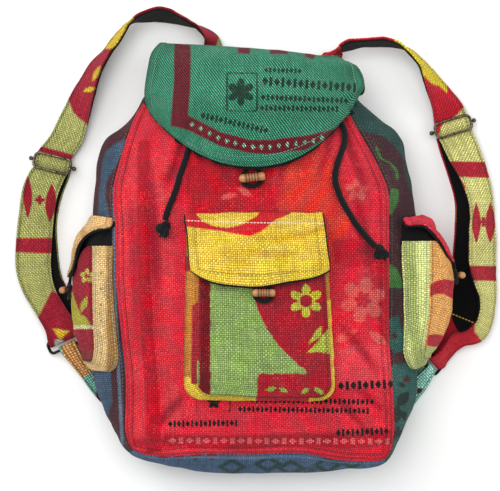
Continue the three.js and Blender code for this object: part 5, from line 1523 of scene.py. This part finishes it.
def make_tab(name, ring, table, look):
    """The tab lies folded over the ring, one layer on the other."""
    middle, long, way = ring_directions(ring)
    middle = middle + way * (RING_HEIGHT - RING_WIRE)
    fold = fold_rows(middle + long * 9, middle - long * 9, -way, TAB_FOLD, -ring["side"])
    upper = np.array(table, float)
    drop = fold[4, :3] - fold[0, :3]
    lower = []
    for n, line in enumerate(upper[::-1]):
        shift = drop * (len(upper) - n) / (len(upper) + 1)
        shift = unit(shift) * max(np.linalg.norm(shift), 2.15)
        lower.append(np.concatenate([line[:3] + shift, line[3:] + shift]))
    grid, _ = strip_grid(np.vstack([upper, fold, lower]), 1.0, 15)
    if np.cross(grid[0, 1] - grid[0, 0], grid[1, 0] - grid[0, 0])[2] < 0:
        grid = grid[:, ::-1]
    normal = mesh_normals(grid)
    across, up = lengths(grid)
    edge = np.minimum(across, across.max() - across)
    face = grid + normal * (0.9 + 0.35 * bell(edge - 1.3, 1.5))[..., None]
    spots = on_layout(face)
    fields = {part: field(spots, [look[part]]) for part in ("tip", "part")}
    material = sacking(f"{name}_tab_sacking", look["ground"],
                       [("part", look["print"], 2), ("tip", "5a1a2c", 2)],
                       [{"inset": 2.4, "thread": "7a6a3c", "show": 0.4}], pitch=(2.6, 2.6), gaps=0.2)
    sheet_piece(f"{name}_tab_cloth", face, STRAP_CLOTH, material, look["slot"], f"{name}_tab", "folded",
                fields=fields, seam=seam_map(face, "lr"))


# Wire and wood

def apply_turn(piece, turn, place):
    """Places a piece modelled at the origin: turned and moved in its mesh."""
    piece.data.transform(Matrix.Translation(Vector(place) * MM) @ turn.to_4x4())
    piece.data.update()


def bent_wire(name, length, height, corner, wire):
    """A closed wire frame: a round section extruded along the sides and spun at the corners."""
    bpy.ops.object.select_all(action="DESELECT")
    x, y = (length - wire) / 2 * MM, (height - wire) / 2 * MM
    radius = (corner - wire / 2) * MM
    bpy.ops.mesh.primitive_circle_add(vertices=20, radius=wire / 2 * MM, fill_type="NOTHING",
                                      location=(-x + radius, -y, 0), rotation=(0, math.pi / 2, 0))
    piece = bpy.context.object
    piece.name = name
    bpy.ops.object.transform_apply(location=True, rotation=True, scale=True)
    bpy.ops.object.mode_set(mode="EDIT")
    bpy.ops.mesh.select_all(action="SELECT")
    sides = [(2 * (x - radius), 0), (0, 2 * (y - radius)), (-2 * (x - radius), 0), (0, -2 * (y - radius))]
    near_x, near_y = x - radius, y - radius
    corners = [(near_x, -near_y), (near_x, near_y), (-near_x, near_y), (-near_x, -near_y)]
    for (step_x, step_y), (centre_x, centre_y) in zip(sides, corners):
        for _ in range(6):
            bpy.ops.mesh.extrude_edges_move(TRANSFORM_OT_translate={"value": (step_x / 6, step_y / 6, 0)})
        bpy.ops.mesh.spin(steps=10, angle=-math.pi / 2, center=(centre_x, centre_y, 0), axis=(0, 0, 1))
    bpy.ops.mesh.select_all(action="SELECT")
    bpy.ops.mesh.remove_doubles(threshold=0.00002)
    bpy.ops.mesh.normals_make_consistent(inside=False)
    bpy.ops.object.mode_set(mode="OBJECT")
    bpy.ops.object.shade_smooth()
    return piece


def turned(name, profile, sides):
    """A turned piece along X: a ring of edges drawn out from one end, step by step, to the given radii."""
    bpy.ops.object.select_all(action="DESELECT")
    (first, radius), rest = profile[0], profile[1:]
    bpy.ops.mesh.primitive_circle_add(vertices=sides, radius=radius * MM, fill_type="NGON",
                                      location=(first * MM, 0, 0), rotation=(0, math.pi / 2, 0))
    piece = bpy.context.object
    piece.name = name
    bpy.ops.object.transform_apply(location=True, rotation=True, scale=True)
    bpy.ops.object.mode_set(mode="EDIT")
    bpy.ops.mesh.select_mode(type="FACE")
    bpy.ops.mesh.select_all(action="SELECT")
    at, now = first, radius
    for along, size in rest:
        bpy.ops.mesh.extrude_region_move(TRANSFORM_OT_translate={"value": ((along - at) * MM, 0, 0)})
        share = size / now
        bpy.ops.transform.resize(value=(1, share, share), center_override=(along * MM, 0, 0))
        at, now = along, size
    bpy.ops.mesh.select_all(action="SELECT")
    bpy.ops.mesh.normals_make_consistent(inside=False)
    bpy.ops.object.mode_set(mode="OBJECT")
    bpy.ops.object.shade_smooth_by_angle(angle=math.radians(40))
    return piece


def make_sliders(metal):
    for name, slider in (("left", LEFT_SLIDER), ("right", RIGHT_SLIDER)):
        turn = Matrix.Rotation(math.radians(slider["turn"]), 3, "Z")
        wire = bent_wire(f"{name}_slider_frame_wire", 40, SLIDER_HEIGHT, 6, WIRE)
        apply_turn(wire, turn, (slider["x"], slider["y"], 11.6))
        finish_piece(wire, metal, "bronze", f"{name}_slider_frame")
        ball = [(22.65 + 2.3 * math.cos(a), 2.3 * math.sin(a))
                for a in np.linspace(math.pi - 0.55, 0.12, 9)]
        half = [(20.4, 1.2)] + ball
        profile = [(-x, r) for x, r in reversed(half)] + [(-12, 1.2), (0, 1.2), (12, 1.2)] + half
        bar = turned(f"{name}_slider_centre_bar", profile, 20)
        apply_turn(bar, turn, (slider["x"], slider["y"], 7))
        finish_piece(bar, metal, "bronze", f"{name}_slider_bar")


def make_rings(metal):
    for name, ring in (("left", LEFT_RING), ("right", RIGHT_RING)):
        middle, long, way = ring_directions(ring)
        wire = bent_wire(f"{name}_ring_wire", 40, RING_HEIGHT, 5, RING_WIRE)
        basis = Matrix((long, way, np.cross(long, way))).transposed()
        apply_turn(wire, basis, middle + way * (RING_HEIGHT - RING_WIRE) / 2)
        finish_piece(wire, metal, "steel", f"{name}_ring")


PEG = [(-0.5, 0.3), (-0.485, 0.55), (-0.45, 0.78), (-0.4, 0.93), (-0.33, 1), (-0.24, 1), (-0.22, 0.92),
       (-0.2, 1), (-0.145, 1), (-0.12, 0.86), (-0.095, 0.86), (-0.075, 0.98), (-0.03, 1), (0, 0.9),
       (0.03, 1), (0.075, 0.98), (0.095, 0.86), (0.12, 0.86), (0.145, 1), (0.2, 1), (0.22, 0.92), (0.24, 1),
       (0.38, 1), (0.43, 0.94), (0.47, 0.8), (0.49, 0.62), (0.5, 0.3)]


def make_peg(name, length, radius, wood, turn, place, node_name):
    peg = turned(name, [(along * length, share * radius) for along, share in PEG], 40)
    mesh = peg.data
    spots = np.empty(len(mesh.vertices) * 3)
    mesh.vertices.foreach_get("co", spots)
    spots = spots.reshape(-1, 3) / MM
    rings = [bell(spots[:, 0] - at * length, 0.028 * length) for at in (-0.22, -0.108, 0, 0.108, 0.22)]
    dark_groove_rings = mesh.attributes.new("dark_groove_rings", "FLOAT", "POINT")
    dark_groove_rings.data.foreach_set("value", np.max(rings, axis=0).astype(np.float32))
    layer = mesh.uv_layers.new(name="weave")
    corner = np.empty(len(mesh.loops), int)
    mesh.loops.foreach_get("vertex_index", corner)
    round_way = np.arctan2(spots[:, 2], spots[:, 1]) * radius
    layer.data.foreach_set("uv", np.stack([spots[corner, 0], round_way[corner]], -1).reshape(-1))
    apply_turn(peg, turn, place)
    finish_piece(peg, wood, "wood", node_name)


# Cords

def tube(name, path, radius, sides=14):
    """A cord along the points, closed at its ends, with its weave map in millimetres."""
    path = np.asarray(path, float)
    tangent = np.gradient(path, axis=0)
    tangent /= np.linalg.norm(tangent, axis=1, keepdims=True)
    normal = np.cross(tangent[0], (0, 0, 1))
    run = np.concatenate([[0], np.cumsum(np.linalg.norm(np.diff(path, axis=0), axis=1))])
    vertices, maps = [], []
    for point, way, v in zip(path, tangent, run):
        normal = unit(normal - np.dot(normal, way) * way)
        other = np.cross(way, normal)
        for n in range(sides + 1):
            angle = 2 * math.pi * n / sides
            if n < sides:
                vertices.append(point + (normal * math.cos(angle) + other * math.sin(angle)) * radius)
            maps.append((angle * radius, v))
    faces, uvs = [], []
    for k in range(len(path) - 1):
        for n in range(sides):
            low, high, after = k * sides, (k + 1) * sides, (n + 1) % sides
            faces.append([low + n, low + after, high + after, high + n])
            low, high = low + k + n, high + k + 1 + n
            uvs += [maps[low], maps[low + 1], maps[high + 1], maps[high]]
    for k, order in ((0, -1), (len(path) - 1, 1)):
        faces.append([k * sides + n for n in range(sides)][::order])
        uvs += [maps[k * (sides + 1) + n] for n in range(sides)][::order]
    mesh = bpy.data.meshes.new(name)
    mesh.from_pydata([tuple(v * MM) for v in vertices], [], faces)
    layer = mesh.uv_layers.new(name="weave")
    layer.data.foreach_set("uv", np.array(uvs, float).reshape(-1))
    piece = bpy.data.objects.new(name, mesh)
    bpy.context.collection.objects.link(piece)
    select_only(piece)
    bpy.ops.object.mode_set(mode="EDIT")
    bpy.ops.mesh.select_all(action="SELECT")
    bpy.ops.mesh.normals_make_consistent(inside=False)
    bpy.ops.object.mode_set(mode="OBJECT")
    bpy.ops.object.shade_smooth_by_angle(angle=math.radians(50))
    return piece


def make_loop(name, place, length, reach, diameter, cord, node_name):
    """A loop of cord over the toggle's place: up from the cloth's edge, round the peg and back."""
    half, strand = length * 0.38, diameter * 0.9
    corners = [(-strand, reach), (-strand, 0.4 * reach), (-half, 2), (-half, -3), (-half * 0.62, -6.8)]
    corners += [(0, -8.2)] + [(-u, v) for u, v in reversed(corners)]
    points = [place(u, v, diameter / 2 + 0.9) for u, v in corners]
    path = spline(np.array(points), np.linspace(0, 1, 90))
    finish_piece(tube(name, path, diameter / 2), cord, "black", node_name)


def make_front_toggle(name, x, y, degrees, length, radius, height, reach, wood, cord):
    turn = math.radians(degrees)

    def place(u, v, above):
        px = x + u * math.cos(turn) - v * math.sin(turn)
        py = y + u * math.sin(turn) + v * math.cos(turn)
        return (px, py, height_at(height, px, py, 110) + above)
    make_loop(f"{name}_toggle_loop", place, length, reach, 4.4, cord, f"{name}_loop")
    make_peg(f"{name}_toggle_peg", length, radius, wood, Matrix.Rotation(turn, 3, "Z"),
             place(0, 0, 4.4 + radius + 1.8), f"{name}_toggle")


def make_side_toggle(name, side, y, z, panel, wood, cord):
    def place(u, v, above):
        return (out_at(panel, side, y + v, z + u, side * 180) + side * above, y + v, z + u)
    make_loop(f"{name}_pocket_toggle_loop", place, 22, 16, 3.2, cord, f"{name}_pocket_loop")
    make_peg(f"{name}_pocket_toggle_peg", 22, 3.3, wood, Matrix.Rotation(-math.pi / 2, 3, "Y"),
             place(0, 0, 3.2 + 3.6 + 1.8), f"{name}_pocket_toggle")


def make_drawcords(cord):
    """Two free ends of the cord that draws the mouth together, each with a knot and frayed strands."""
    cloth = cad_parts["front_panel"]
    depsgraph = bpy.context.evaluated_depsgraph_get()
    tree = BVHTree.FromObject(cloth, depsgraph)

    def surface(x, y):
        hit = tree.ray_cast(Vector((x * MM, y * MM, 0.4)), Vector((0, 0, -1)))[0]
        return hit.z / MM

    def on_front(x, y, above):
        z = surface(x, y)
        slope = math.hypot(1, (surface(x + 2, y) - z) / 2, (surface(x, y + 2) - z) / 2)
        return np.array([x, y, z + above * slope])
    for name, route in (("left", LEFT_DRAWCORD), ("right", RIGHT_DRAWCORD)):
        points = np.array([on_front(x, y, 4) for x, y in route])
        path = spline(points, even(points, 0, 1, 70))
        piece = tube(f"{name}_drawcord", path, 3.0, 18)
        finish_piece(piece, cord, "black", f"drawcord_{name}")
        way = unit(np.array(route[-1], float) - route[-2])
        x, y = np.array(route[-1]) + way * 8.855
        middle = on_front(x, y, 6)
        knot = make_knot(f"{name}_drawcord_knot", middle, math.atan2(way[1], way[0]), cord,
                         f"drawcord_knot_{name}")


def make_knot(name, middle, turn, cord, node_name):
    """An overhand knot drawn tight: the cord's own trefoil, flattened, with a short frayed end."""
    angle = np.linspace(0.35, 2 * math.pi + 0.1, 90)
    x = (np.sin(angle) + 1.7 * np.sin(2 * angle)) * 2.35
    y = (np.cos(angle) - 1.7 * np.cos(2 * angle)) * 1.95
    z = -np.sin(3 * angle) * 2.1 + 0.6
    flat = np.stack([x, y, z], -1)
    spin = np.array([[math.cos(turn), -math.sin(turn), 0], [math.sin(turn), math.cos(turn), 0], [0, 0, 1]])
    path = flat @ spin.T + middle
    knot = tube(name, path, 2.6, 16)
    strands = []
    random = np.random.default_rng(5)
    for n in range(9):
        spread = random.uniform(-0.9, 0.9)
        reach = random.uniform(3, 5)
        steps = np.linspace(0, 1, 8)[:, None]
        way = spin @ np.array([math.cos(spread), math.sin(spread), 0])
        start = middle + spin @ np.array([4.5, random.uniform(-2, 2), random.uniform(-2, 1.5)])
        bend = np.array([0, 0, random.uniform(-2.5, 1)])
        strands.append(tube(f"{name}_strand", start + way * reach * steps + bend * steps ** 2, 0.45, 6))
    select_only(knot, *strands)
    bpy.ops.object.join()
    finish_piece(knot, cord, "black", node_name)
    return knot


# The whole

place_camera()
cord = braided_cotton()
make_drawcords(cord)
soft_light("soft_box_over", (-0.25, 0.35, 1.7), (0, 0, 0.05), 1.4, 19)
soft_light("soft_box_left", (-1.3, 0.9, 1.1), (0, 0, 0.05), 1.2, 10.5)
soft_light("soft_box_right", (1.3, 0.2, 1.0), (0, 0, 0.05), 1.2, 6.5)
world = bpy.data.worlds.new("studio")
world.use_nodes = True
world.node_tree.nodes["Background"].inputs["Color"].default_value = (1, 1, 1, 1)
world.node_tree.nodes["Background"].inputs["Strength"].default_value = 0.55
bpy.context.scene.world = world
bpy.context.scene.view_settings.view_transform = "Standard"
bpy.ops.mesh.primitive_plane_add(size=6, location=(0, 0, -0.0005))
floor = bpy.context.object
floor.name = "floor"
floor.data.materials.append(studio_paper())

cotton = black_cotton("black_cotton_lining")
wood = waxed_wood()
bronze = antique_metal("antique_bronze_plate", "2a2520", "8a7a66", 0.4)
steel = antique_metal("dull_steel_wire", "141212", "3e3a37", 0.5)
gussets = make_gussets()
front = make_front()
front_tree = tree_of(front)
make_back()
make_top_flap(front_tree, cotton)
pocket = make_front_pocket(front_tree)
make_pocket_flap(cotton)
left_face = make_side_pocket("left", LEFT_POCKET, LEFT_FLAP, left_pocket_looks, tree_of(gussets["left"]),
                             cotton)
right_face = make_side_pocket("right", RIGHT_POCKET, RIGHT_FLAP, right_pocket_looks,
                              tree_of(gussets["right"]), cotton)
make_sliders(bronze)
make_rings(steel)
make_strap("left", (LEFT_UPPER, LEFT_LOWER, LEFT_RETURN), LEFT_SLIDER, LEFT_RING, left_strap_look, cotton,
           "lime", 121, -1.0)
bordered_cotton = black_cotton("bordered_cotton_lining", [("end", "cc2034")], [END_LINE])
make_strap("right", (RIGHT_UPPER, RIGHT_LOWER, RIGHT_RETURN), RIGHT_SLIDER, RIGHT_RING, right_strap_look,
           bordered_cotton, "red", 131, 1.0)
make_tab("left", LEFT_RING, LEFT_TAB, LEFT_TAB_LOOK)
make_tab("right", RIGHT_RING, RIGHT_TAB, RIGHT_TAB_LOOK)
make_front_toggle("main", -2, 81, 6, 25, 4, front_tree, 24, wood, cord)
make_front_toggle("pocket", 9, -28, 0, 22, 3.6, tree_of(pocket), 14, wood, cord)
make_side_toggle("left", -1, -28, 51, left_face, wood, cord)
make_side_toggle("right", 1, -13, 54, right_face, wood, cord)
